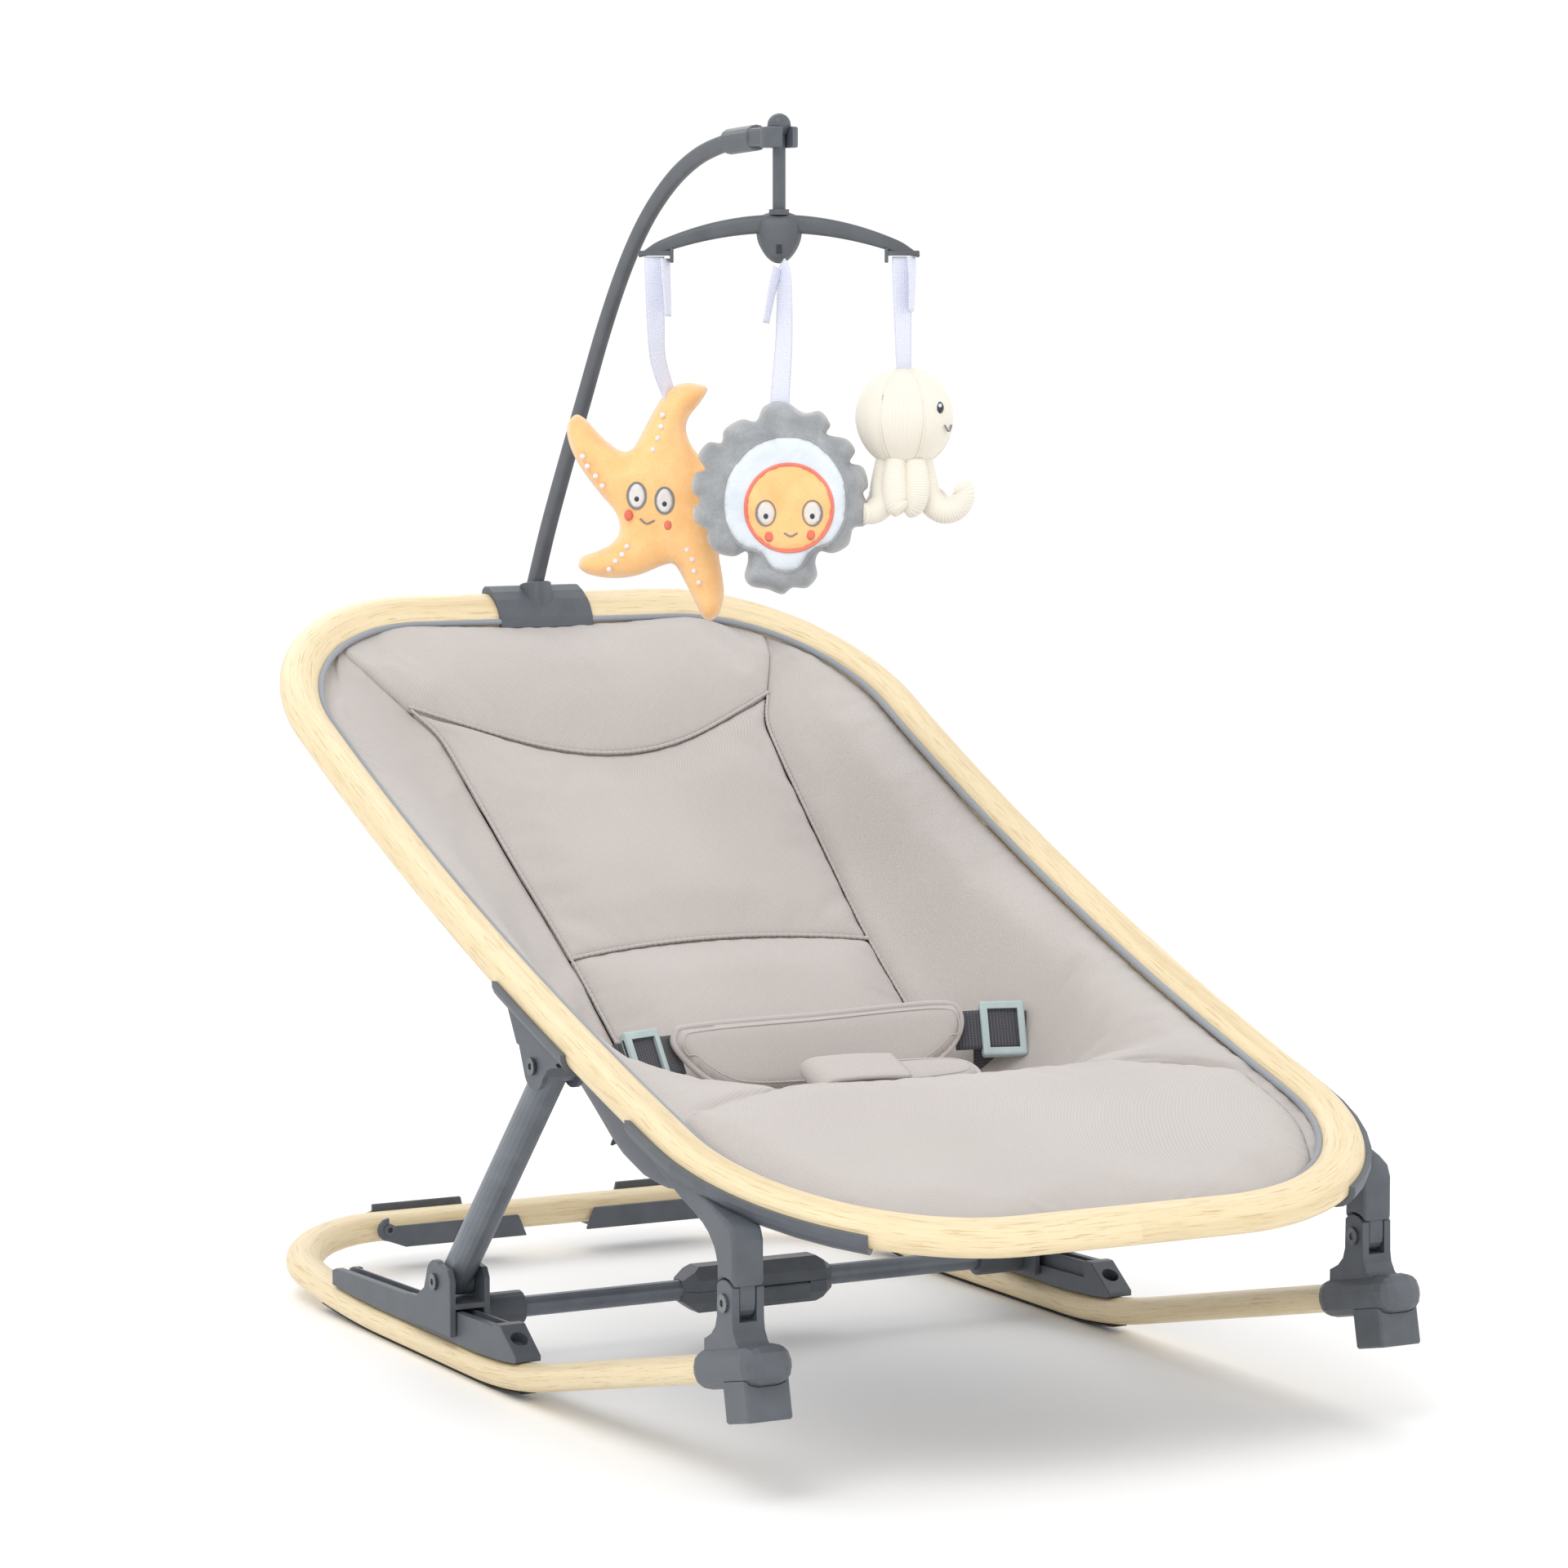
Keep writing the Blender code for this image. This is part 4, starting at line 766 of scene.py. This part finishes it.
# Stuffed shapes from outlines.
def stuffed_mesh(outline, half_thickness, soft, cell=0.0030):
    """A closed stuffed form: the outline (metres, in a plane) puffed to both sides."""
    ring = [Vector(p) for p in outline]
    area = sum(a.x * b.y - b.x * a.y for a, b in zip(ring, ring[1:] + ring[:1]))
    if area < 0:
        ring.reverse()
    count = len(ring)

    def inside(p):
        hit = False
        for a, b in zip(ring, ring[1:] + ring[:1]):
            if (a.y > p.y) != (b.y > p.y) and p.x < (b.x - a.x) * (p.y - a.y) / (b.y - a.y) + a.x:
                hit = not hit
        return hit

    def distance(p):
        best = 1.0
        for a, b in zip(ring, ring[1:] + ring[:1]):
            d = b - a
            t = max(0.0, min(1.0, (p - a).dot(d) / max(1e-12, d.length_squared)))
            best = min(best, (a + d * t - p).length)
        return best

    points = list(ring)
    xs = [p.x for p in ring]
    ys = [p.y for p in ring]
    row = 0
    y = min(ys) + cell / 2
    while y < max(ys):
        x = min(xs) + (cell / 2 if row % 2 else 0)
        while x < max(xs):
            p = Vector((x, y))
            if inside(p) and distance(p) > cell * 0.55:
                points.append(p)
            x += cell
        y += cell * 0.87
        row += 1
    edges = [(i, (i + 1) % count) for i in range(count)]
    flat, _, faces, *_ = geometry.delaunay_2d_cdt(points, edges, [], 1, 1e-6)
    mesh = bmesh.new()
    uv = mesh.loops.layers.uv.new("UVMap")
    top, low = [], []
    for p in flat:
        d = distance(p)
        share = min(1.0, d / soft)
        z = half_thickness * math.sqrt(max(0.0, 1 - (1 - share) ** 2))
        vertex = mesh.verts.new((p.x, p.y, z))
        top.append(vertex)
        low.append(vertex if d < 1e-5 else mesh.verts.new((p.x, p.y, -z)))
    for face in faces:
        for layer, order in ((top, face), (low, face[::-1])):
            if len({layer[i] for i in order}) < 3:
                continue
            try:
                made = mesh.faces.new([layer[i] for i in order])
            except ValueError:
                continue
            for loop, i in zip(made.loops, order):
                loop[uv].uv = (flat[i].x, flat[i].y)
    return mesh


def placed(mesh, matrix):
    bmesh.ops.transform(mesh, matrix=matrix, verts=mesh.verts)
    return mesh


def millimetres(points, per_span=4):
    """A smooth closed outline through points given in millimetres."""
    return [(p.x, p.y) for p in spline([(x / 1000, y / 1000, 0) for x, y in points], per_span, True)]


def ellipse(cx, cy, rx, ry, steps=28):
    return [(cx + rx * math.cos(2 * math.pi * i / steps), cy + ry * math.sin(2 * math.pi * i / steps))
            for i in range(steps)]


def toy_plane(place, depth, z):
    """Matrix of a toy's own plane: X along the bow, Y up, Z towards the viewer."""
    return (Matrix.Translation((0, MOBILE_Y, z)) @ Matrix.Rotation(MOBILE_TURN, 4, "Z")
            @ Matrix.Translation((place, depth, 0)) @ Matrix.Rotation(math.radians(90), 4, "X"))


def patch(name, outline, matrix, height, thick, soft, material, body, cell=0.0016):
    """A raised embroidered or sewn patch lying on a toy's front, height above the toy's plane."""
    mesh = stuffed_mesh(outline, thick, soft, cell)
    return link(name, placed(mesh, matrix @ Matrix.Translation((0, 0, height))), material, body)


def thread_loop(name, points, radius, matrix, height, material, body, cyclic=True):
    path = [matrix @ Vector((x, y, height)) for x, y in points]
    front = (matrix.to_3x3() @ Vector((0, 0, 1))).normalized()
    tube(name, path, radius, material, body, 6, cyclic, front)


def bead(name, at, radii, material, body, turn=Matrix()):
    mesh = bmesh.new()
    shape = Matrix.Diagonal((*radii, 1))
    bmesh.ops.create_uvsphere(mesh, u_segments=20, v_segments=12, radius=1, matrix=shape)
    bmesh.ops.transform(mesh, matrix=Matrix.Translation(at) @ turn, verts=mesh.verts)
    link(name, mesh, material, body)


def face_details(toy, matrix, eyes, cheeks, smile, height, eye_size):
    """Plain sewn face: two oval eyes with a small pupil, round cheeks and a short smile."""
    rx, ry = eye_size
    for index, (x, y) in enumerate(eyes):
        outline = ellipse(x / 1000, y / 1000, rx, ry)
        patch(f"{toy}_eye_{index}", outline, matrix, height, 0.0010, 0.003, EYE_WHITE, toy)
        thread_loop(f"{toy}_eye_edge_{index}", outline, 0.0007, matrix, height + 0.0003, GREY_THREAD, toy)
        pupil = ellipse(x / 1000, y / 1000 - ry * 0.25, rx * 0.30, rx * 0.34, 16)
        patch(f"{toy}_pupil_{index}", pupil, matrix, height + 0.0008, 0.0008, 0.001, DARK_EYE, toy, 0.0009)
    for index, (x, y) in enumerate(cheeks):
        outline = ellipse(x / 1000, y / 1000, 0.0027, 0.0034, 18)
        patch(f"{toy}_cheek_{index}", outline, matrix, height, 0.0010, 0.0016, CHEEK, toy, 0.0011)
    path = [(p.x, p.y) for p in spline([(x / 1000, y / 1000, 0) for x, y in smile], 6)]
    thread_loop(f"{toy}_smile", path, 0.0006, matrix, height + 0.0006, GREY_THREAD, toy, False)


STAR_OUTLINE = [
    (37, 65), (30, 68), (21, 68), (12, 63), (4, 51), (-4, 36), (-9, 28), (-16, 27), (-27, 35), (-37, 46),
    (-44, 49), (-49, 41), (-46, 27), (-38, 13), (-28, 0), (-19, -11), (-17, -22), (-22, -30), (-32, -35),
    (-40, -38), (-42, -44), (-35, -49), (-20, -51), (-5, -49), (10, -43), (17, -43), (23, -53), (30, -67),
    (34, -75), (39, -77), (44, -73), (47, -61), (46, -49), (44, -34), (47, -14), (57, -2), (62, 8),
    (58, 15), (44, 21), (33, 24), (27, 31), (24, 40), (26, 48), (33, 57)
]
STAR_PEARLS = [
    (10, 49), (9, 42), (7, 35), (4, 28), (-39, 24), (-36, 18), (-31, 12), (-27, 6), (-12, -31), (-15, -36),
    (-19, -40), (-23, -45), (25, -33), (28, -39), (29, -46), (32, -53), (54, 6), (48, 8)
]


def starfish():
    matrix = toy_plane(-0.081, 0.0240, 0.5240)
    mesh = stuffed_mesh(millimetres(STAR_OUTLINE), 0.0125, 0.0170)
    body = link("starfish_plush", placed(mesh, matrix), ORANGE, "starfish", ["starfish_toy"])
    for index, (x, y) in enumerate(STAR_PEARLS):
        at = matrix @ Vector((x / 1000, y / 1000, 0.0112))
        bead(f"starfish_pearl_{index}", at, (0.0017, 0.0017, 0.0017), PEARL, "starfish")
    face_details("starfish", matrix, [(-6, 0), (11, -3)], [(-11, -12), (13, -18)],
                 [(-4, -14), (0, -17), (5, -15)], 0.0122, (0.0056, 0.0080))


SHELL_OUTLINE = [
    (3, 60), (15, 53), (25, 54), (31, 46), (29, 40), (41, 37), (46, 30), (43, 23), (51, 20), (54, 9),
    (51, 4), (55, -5), (52, -15), (45, -17), (42, -27), (33, -32), (25, -31), (22, -37), (23, -46),
    (17, -53), (8, -53), (2, -57), (-7, -54), (-17, -52), (-21, -46), (-19, -37), (-20, -31), (-28, -34),
    (-39, -31), (-44, -23), (-44, -18), (-51, -13), (-52, -5), (-48, 0), (-53, 6), (-51, 16), (-45, 19),
    (-49, 27), (-43, 35), (-35, 35), (-33, 43), (-23, 49), (-14, 48), (-9, 57)
]
SHELL_INNER = [
    (3, 39), (18, 37), (31, 27), (39, 14), (41, -2), (38, -16), (31, -25), (20, -30), (13, -40), (3, -43),
    (-6, -39), (-12, -31), (-23, -27), (-31, -17), (-34, -2), (-31, 15), (-20, 30), (-8, 37)
]


def scallop():
    matrix = toy_plane(0.0, -0.0100, 0.5220)
    mesh = stuffed_mesh(millimetres(SHELL_OUTLINE, 5), 0.0128, 0.0110, 0.0025)
    body = link("scallop_plush", placed(mesh, matrix), GREY_PLUSH, "scallop", ["scallop_toy"])
    inner = millimetres(SHELL_INNER)
    patch("scallop_inner", inner, matrix, 0.0124, 0.0030, 0.008, PALE_PLUSH, "scallop", 0.0030)
    thread_loop("scallop_inner_seam", inner, 0.0008, matrix, 0.0127, GREY_PLUSH, "scallop")
    pearl = ellipse(0.0060, -0.0040, 0.0268, 0.0268, 60)
    rim = ellipse(0.0060, -0.0040, 0.0262, 0.0262, 60)
    patch("scallop_pearl", pearl, matrix, 0.0142, 0.0040, 0.012, ORANGE, "scallop", 0.0026)
    thread_loop("scallop_pearl_edge", rim, 0.0012, matrix, 0.0154, CORAL, "scallop")
    face_details("scallop", matrix, [(-8, -7), (20, -7)], [(-6, -21), (19, -20)],
                 [(3, -19), (7, -21), (11, -19)], 0.0176, (0.0058, 0.0076))


def around_y(degrees):
    return Vector((math.sin(math.radians(degrees)), 0, math.cos(math.radians(degrees))))


def octopus():
    matrix = toy_plane(0.0760, 0.0, 0.5670)
    mesh = bmesh.new()
    uv = mesh.loops.layers.uv.new("UVMap")
    rows, columns = 28, 48
    verts = []
    for j in range(rows + 1):
        polar = math.pi * j / rows
        line = []
        for i in range(columns):
            angle = 2 * math.pi * i / columns
            across = ((angle * 6 / (2 * math.pi)) % 1 - 0.5) / 0.07
            groove = 1 - 0.035 * math.exp(-across ** 2) * math.sin(polar)
            radius = 0.0300 * math.sin(polar) ** 0.92 * groove if 0 < j < rows else 0.0
            height = 0.0302 * math.cos(polar)
            if height < 0:
                radius *= 1 + 0.06 * height / 0.0302
            line.append(mesh.verts.new((radius * math.cos(angle), 0.0045 + height, radius * math.sin(angle))))
        verts.append(line)
    for j in range(rows):
        for i in range(columns):
            n = (i + 1) % columns
            face = mesh.faces.new((verts[j][i], verts[j][n], verts[j + 1][n], verts[j + 1][i]))
            for loop, (a, b) in zip(face.loops, ((j, i), (j, i + 1), (j + 1, i + 1), (j + 1, i))):
                loop[uv].uv = (b * 0.1885 / columns, a * 0.094 / rows)
    bmesh.ops.remove_doubles(mesh, verts=mesh.verts, dist=1e-6)
    head = link("octopus_head", placed(mesh, matrix), KNIT, "octopus", ["octopus_toy"])
    subdivide(head)
    for index, angle in enumerate((-30, 22, 100, 160, 230)):
        seam = []
        for step in range(25):
            polar = math.radians(8 + 160 * step / 24)
            rise = Vector((0, 0.0045 + 0.0301 * math.cos(polar), 0))
            seam.append(matrix @ (around_y(angle) * (0.0299 * math.sin(polar) ** 0.92) + rise))
        tube(f"octopus_seam_{index}", seam, 0.00055, KNIT, "octopus", 6, False, Vector((0.3, 0.2, 0.9)))
    legs = [[(-11, -20, 4), (-13, -36, 6), (-13, -46, 10), (-19, -52, 14), (-26, -53, 18)],
            [(-5, -20, 12), (-6, -34, 16), (-5, -46, 18), (-1, -51, 20)],
            [(6, -20, 12), (7, -36, 15), (5, -47, 14), (0, -50, 12)],
            [(11, -20, 3), (13, -34, 4), (15, -44, 5), (23, -51, 7), (32, -49, 8), (36, -41, 9),
             (33, -35, 9)],
            [(-7, -20, -10), (-10, -36, -14), (-16, -47, -18), (-22, -46, -20)],
            [(7, -20, -10), (11, -36, -15), (19, -46, -19), (26, -42, -21)]]
    for index, route in enumerate(legs):
        path = [matrix @ (p / 1000) for p in spline([Vector(p) for p in route], 8)]
        section = super_ellipse(0.0078, 0.0078, 16, 2.0)
        leg = sweep(path, section, Vector((0.2, 0.9, 0.4)), False,
                    lambda t: 0.82 + 0.25 * math.sin(math.pi * min(1, t * 1.1)) if t < 0.93 else
                    max(0.35, 1.0 - (t - 0.93) * 9), True)
        piece = link(f"octopus_leg_{index}", leg, KNIT, "octopus")
        subdivide(piece)
    eye = (("rim", 46, 0.0280, 0.0112, (0.0038, 0.0047, 0.0020), PALE_PLUSH),
           ("bead", 46, 0.0284, 0.0112, (0.0030, 0.0039, 0.0030), DARK_EYE),
           ("glint", 43, 0.0308, 0.0126, (0.0010, 0.0012, 0.0010), EYE_WHITE))
    for word, angle, lift, rise, size, material in eye:
        at = matrix @ (around_y(angle) * lift + Vector((0, rise, 0)))
        turn = matrix.to_3x3().to_4x4() @ Matrix.Rotation(math.radians(angle), 4, "Y")
        bead(f"octopus_eye_{word}", at, size, material, "octopus", turn)
    smile = []
    for step in range(9):
        t = step / 8
        rise = Vector((0, 0.0005 - 0.0036 * math.sin(math.pi * t), 0))
        smile.append(matrix @ (around_y(54 + 18 * t) * 0.0299 + rise))
    tube("octopus_smile", smile, 0.0006, GREY_THREAD, "octopus", 6)


# Mobile and toy bar.
RIBBON_WIDTH, TAIL_WIDTH = 0.0120, 0.0105
BOW_FACING = Vector((-0.469, -0.883, 0))


def flat_strip(name, path, width, thick, material, body, facing, nodes=()):
    """A flat ribbon or strap along a path; facing is the direction its face looks."""
    section = [(width / 2 - width * step / 8, thick / 2) for step in range(9)]
    section += [(-width / 2 + width * step / 8, -thick / 2) for step in range(9)]
    return link(name, sweep(path, section, facing), material, body, nodes)


RIBBONS = {   # place along the bow, depth and height of each point, then the turn at each end in degrees
    "starfish_strip": ([(-0.0755, 0.000, 0.6690), (-0.0755, 0.001, 0.6560), (-0.0750, 0.006, 0.6300),
                        (-0.0740, 0.014, 0.6080), (-0.0690, 0.022, 0.5900), (-0.0660, 0.024, 0.5820)], 8, 62),
    "scallop_strip": ([(0.0010, -0.004, 0.6640), (0.0030, -0.0095, 0.6560), (0.0030, -0.0100, 0.6200),
                       (0.0010, -0.0100, 0.5900), (0.0000, -0.0100, 0.5720)], -58, -12),
    "octopus_strip": ([(0.0745, 0.000, 0.6690), (0.0745, 0.000, 0.6560), (0.0750, 0.000, 0.6300),
                       (0.0758, 0.000, 0.5950)], 0, 46),
    "starfish_strip_tail": ([(-0.0690, -0.0012, 0.6680), (-0.0680, -0.0022, 0.6500),
                             (-0.0672, -0.0030, 0.6330)], 62, 74),
    "scallop_strip_tail": ([(-0.0010, -0.0100, 0.6620), (-0.0040, -0.0125, 0.6500),
                            (-0.0080, -0.0130, 0.6290)], 60, 72),
    "octopus_strip_tail": ([(0.0800, -0.0014, 0.6690), (0.0805, -0.0020, 0.6560),
                            (0.0800, -0.0020, 0.6360)], 62, 74),
}


def ribbons():
    """Ribbons of even width, each turned about its own line as it hangs."""
    for name, (points, first, last) in RIBBONS.items():
        toy = name.split("_")[0]
        tail = name.endswith("tail")
        width = TAIL_WIDTH if tail else RIBBON_WIDTH
        path = spline([toy_plane(*p) @ Vector((0, 0, 0)) for p in points], 8)
        looks = []
        for i in range(len(path)):
            angle = math.radians(first + (last - first) * i / (len(path) - 1))
            looks.append(Matrix.Rotation(angle, 3, "Z") @ BOW_FACING)
        nodes, slot = ([], None) if tail else ([f"{toy}_ribbon"], "ribbon")
        strip = flat_strip(name, path, width, 0.0008, RIBBON, toy, looks, nodes)


BOW_HALF = 0.085


def bow():
    """Crescent bow with pointed tips, a drop-shaped hub and a hook near each tip."""
    matrix = toy_plane(0, 0, BOW_Z)
    steps = 48
    path, sizes = [], []
    for i in range(steps + 1):
        t = 2 * i / steps - 1
        path.append(matrix @ Vector((BOW_HALF * t, 0.0028 - 0.0195 * t * t, 0)))
        sizes.append(max(0.12, 1 - 0.45 * t * t - 0.40 * max(0, abs(t) - 0.86) / 0.14))
    front = matrix.to_3x3() @ Vector((0, 0, 1))
    section = super_ellipse(0.0056, 0.0042, 20, 2.6)
    mesh = sweep(path, section, front, False, lambda t: sizes[round(t * steps)])
    link("mobile_arch", mesh, BAR_PLASTIC, "mobile", ["mobile_bow"])
    hub = [
        (-12.5, 6), (-13.8, 0), (-12.8, -8), (-8.5, -16), (-3, -20.5), (3, -20.5), (8.5, -16), (12.8, -8),
        (13.8, 0), (12.5, 6), (6, 9.5), (-6, 9.5)
    ]
    mesh = stuffed_mesh(millimetres(hub, 5), 0.0078, 0.0110, 0.0022)
    link("mobile_hub", placed(mesh, matrix), BAR_PLASTIC, "mobile")
    slot_at = matrix @ Matrix.Translation((0, -0.0125, 0.0070))
    small_box("mobile_hub_slot", slot_at, (0.0034, 0.0056, 0.0020), RUBBER, "mobile", 0.0003, 2)
    for word, place in (("left", -0.0650), ("right", 0.0650)):
        for tag, shift, tall in (("peg", 0.0, 0.0090), ("bar", -0.0100 if place < 0 else 0.0100, 0.0030)):
            size = (0.0022, tall, 0.0062) if tag == "peg" else (0.0200, tall, 0.0050)
            z = 0.0015 - 0.0165 * ((place + shift) / BOW_HALF) ** 2 - 0.0035
            z -= tall / 2 if tag == "peg" else 0.0
            at = matrix @ Matrix.Translation((place + shift, z, 0))
            small_box(f"mobile_{tag}_{word}", at, size, BAR_PLASTIC, "mobile", 0.0006, 3)


BAR_ROUTE = [
    (0.3580, 0.4900), (0.3330, 0.5300), (0.3015, 0.5780), (0.2705, 0.6250), (0.2400, 0.6640),
    (0.2090, 0.6940), (0.1740, 0.7170), (0.1400, 0.7310), (0.1080, 0.7380), (0.0800, 0.7405)
]


def toy_bar():
    start, after = Vector((0, 0.3800, 0.4500)), Vector((0, 0.3580, 0.4900))
    up = (after - start).normalized()
    points = [start + up * 0.0003] + [Vector((0, *p)) for p in BAR_ROUTE]
    path = spline(points, 9)
    section = super_ellipse(0.0040, 0.0070, 24, 3.2)
    ups = []
    for i in range(len(path)):
        tangent = (path[min(i + 1, len(path) - 1)] - path[max(i - 1, 0)]).normalized()
        ups.append(Vector((1, 0, 0)).cross(tangent))
    mesh = sweep(path, section, ups, False, lambda t: 1.0 - 0.25 * t)
    link("toy_bar_arm", mesh, BAR_PLASTIC, "toy_bar", ["toy_bar"])


# Harness.
BELT_LEAN = -25   # degrees from upright
STRAP_WIDTH = 0.0245


def bound_pad(name, outline, matrix, half, cad_node, bow_by=0.0):
    """A thin padded belt piece with a bound edge and a line of stitches inside it."""
    mesh = stuffed_mesh(outline, half, 0.010, 0.0036)

    def bend(p):
        return Vector((p.x, p.y, p.z - bow_by * (p.x / 0.1) ** 2))

    for vertex in mesh.verts:
        vertex.co = bend(vertex.co)
    link(name, placed(mesh, matrix), LINER, "seat", [cad_node])
    front = (matrix.to_3x3() @ Vector((0, 0, 1))).normalized()
    path = [matrix @ bend(Vector((x, y, 0))) for x, y in outline]
    tube(name + "_binding", path, 0.0020, BOUND_EDGE, "seat", 10, True, front)
    centre = Vector((sum(p[k] for p in outline) / len(outline) for k in (0, 1)))
    inner = []
    for x, y in outline:
        step = Vector((x, y)) - centre
        shrink = max(0.0, 1 - 0.0048 / max(0.006, step.length))
        inner.append((centre.x + step.x * shrink if abs(step.x) < 0.06 else x - math.copysign(0.0042, step.x),
                      centre.y + math.copysign(max(0.0, abs(step.y) - 0.0042), step.y)))
    path = [matrix @ (bend(Vector((x, y, 0))) + Vector((0, 0, half * 0.86))) for x, y in inner]
    tube(name + "_stitch", path, 0.0005, BOUND_EDGE, "seat", 6, True, front)


def harness():
    waist = [
        (-98, 9), (-96, 17.5), (-89, 20.5), (-53, 22.3), (3, 23), (60, 24.2), (91, 23.2), (99, 18),
        (98, 7), (88, -5.5), (72, -15), (58, -20.5), (20, -22.5), (-30, -22.5), (-58, -21), (-73, -16.5),
        (-87, -6.2)
    ]
    upright = Matrix.Translation((0, -0.0240, 0.1900)) @ Matrix.Rotation(math.radians(90 + BELT_LEAN), 4, "X")
    bound_pad("waist_belt", millimetres(waist, 5), upright, 0.0050, "waist_pad", -0.004)
    crotch = [
        (-50, 10), (-24, 14), (12, 15), (38, 13), (50, 7), (52, -4), (44, -12), (10, -15), (-24, -14.5),
        (-48, -12), (-53, -4), (-53, 4)
    ]
    lean = Matrix.Translation((0.012, -0.1000, 0.1850)) @ Matrix.Rotation(math.radians(20), 4, "X")
    bound_pad("crotch_flap", millimetres(crotch, 5), lean, 0.0046, "crotch_pad")
    fold = [
        (0.050, -0.0052), (0.020, -0.0058), (-0.020, -0.0060), (-0.044, -0.0052), (-0.0560, -0.0020),
        (-0.0590, 0.0030), (-0.0540, 0.0074), (-0.0400, 0.0084), (-0.0200, 0.0080), (0.000, 0.0066)
    ]
    path = spline([lean @ Vector((x, 0, z)) for x, z in fold], 6)
    across = (lean.to_3x3() @ Vector((0, 1, 0))).normalized()
    section = super_ellipse(0.0020, 0.0145, 24, 4.0)
    link("crotch_fold", sweep(path, section, across), LINER, "seat")
    strap = [(0.010, y, z) for y, z in ((-0.1000, 0.1790), (-0.0985, 0.1700), (-0.0965, 0.1600), (-0.0950, 0.1520))]
    flat_strip("crotch_webbing", spline(strap, 6), 0.025, 0.0018, WEBBING, "seat", Vector((0, -1, 0)),
               ["crotch_strap"])
    for word, side in SIDES:
        turn = math.radians(side * -18)
        along = Matrix.Rotation(turn, 3, "Z") @ Vector((1, 0, 0))
        lean = Matrix.Rotation(math.radians(BELT_LEAN), 3, "X")
        facing = (Matrix.Rotation(turn, 3, "Z") @ lean) @ Vector((0, -1, 0))
        middle = STRAP_MIDDLE[word]
        down = Vector((0, 0.35, -0.93))
        path = [middle - along * side * 0.030 + facing * -0.002, middle - along * side * 0.012, middle,
                middle + along * side * 0.011 - facing * 0.001,
                middle + along * side * 0.018 - facing * 0.006,
                middle + along * side * 0.021 - facing * 0.014]
        path = spline(path, 6)
        strap = flat_strip(f"waist_webbing_{word}", path, STRAP_WIDTH, 0.0015, WEBBING, "seat", facing,
                           [f"waist_strap_{word}"])
        under = [middle + down * 0.006 - facing * 0.006 - along * side * 0.006,
                 middle + down * 0.020 - facing * 0.004 - along * side * 0.004,
                 middle + down * 0.038 - facing * 0.006, middle + down * 0.052 - facing * 0.010]
        flat_strip(f"under_webbing_{word}", spline(under, 6), 0.0200, 0.0015, WEBBING, "seat", facing)


# Carried-over CAD nodes.
def paint_nodes():
    by_slot = {"grey_plastic": PLASTIC, "grey_paint": PAINT, "grip_rubber": RUBBER, "steel": STEEL,
               "pale_plastic": PALE, "wood": WOOD}
    for entry in frame["record"]["subparts"]:
        obj = NODES[entry["node"]]
        material = by_slot.get(entry["material_slot"])
        if material is None or obj.hide_render:
            continue
        obj.data.materials.clear()
        obj.data.materials.append(material)


# Studio.
def studio():
    mesh = bmesh.new()
    bmesh.ops.create_grid(mesh, x_segments=1, y_segments=1, size=12)
    data = bpy.data.meshes.new("studio_floor")
    mesh.to_mesh(data)
    mesh.free()
    floor = bpy.data.objects.new("studio_floor", data)
    bpy.context.scene.collection.objects.link(floor)
    material, _, shader = new_material("studio_floor", 0.9)
    shader.inputs["Base Color"].default_value = (0.98, 0.98, 0.98, 1)
    data.materials.append(material)
    world = bpy.data.worlds.new("studio")
    bpy.context.scene.world = world
    world.use_nodes = True
    world.node_tree.nodes["Background"].inputs["Color"].default_value = (1, 1, 1, 1)
    world.node_tree.nodes["Background"].inputs["Strength"].default_value = 1.05

    def area(name, at, target, size, energy):
        light = bpy.data.lights.new(name, "AREA")
        light.size = size
        light.energy = energy
        obj = bpy.data.objects.new(name, light)
        bpy.context.scene.collection.objects.link(obj)
        obj.location = at
        obj.rotation_euler = (Vector(target) - Vector(at)).to_track_quat("-Z", "Y").to_euler()

    area("key", (-1.6, -1.3, 2.6), (0, 0, 0.2), 1.6, 26)
    area("fill", (2.2, -1.6, 1.6), (0, 0, 0.25), 2.0, 8)
    area("back", (0.4, 2.4, 2.2), (0, 0, 0.3), 1.6, 16)
    camera = bpy.data.cameras.new("camera")
    camera.sensor_width = 36
    camera.lens = 112.5
    obj = bpy.data.objects.new("camera", camera)
    bpy.context.scene.collection.objects.link(obj)
    obj.location = (-1.4008, -2.6058, 0.6361)
    obj.rotation_euler = (math.radians(90 - 5.51), 0, math.radians(-28.06))
    bpy.context.scene.camera = obj
    bpy.context.scene.view_settings.view_transform = "Standard"


studio()
wood_pieces()
liner()
piping()
seams()
sling()
harness()
toy_bar()
bow()
ribbons()
starfish()
scallop()
octopus()
paint_nodes()
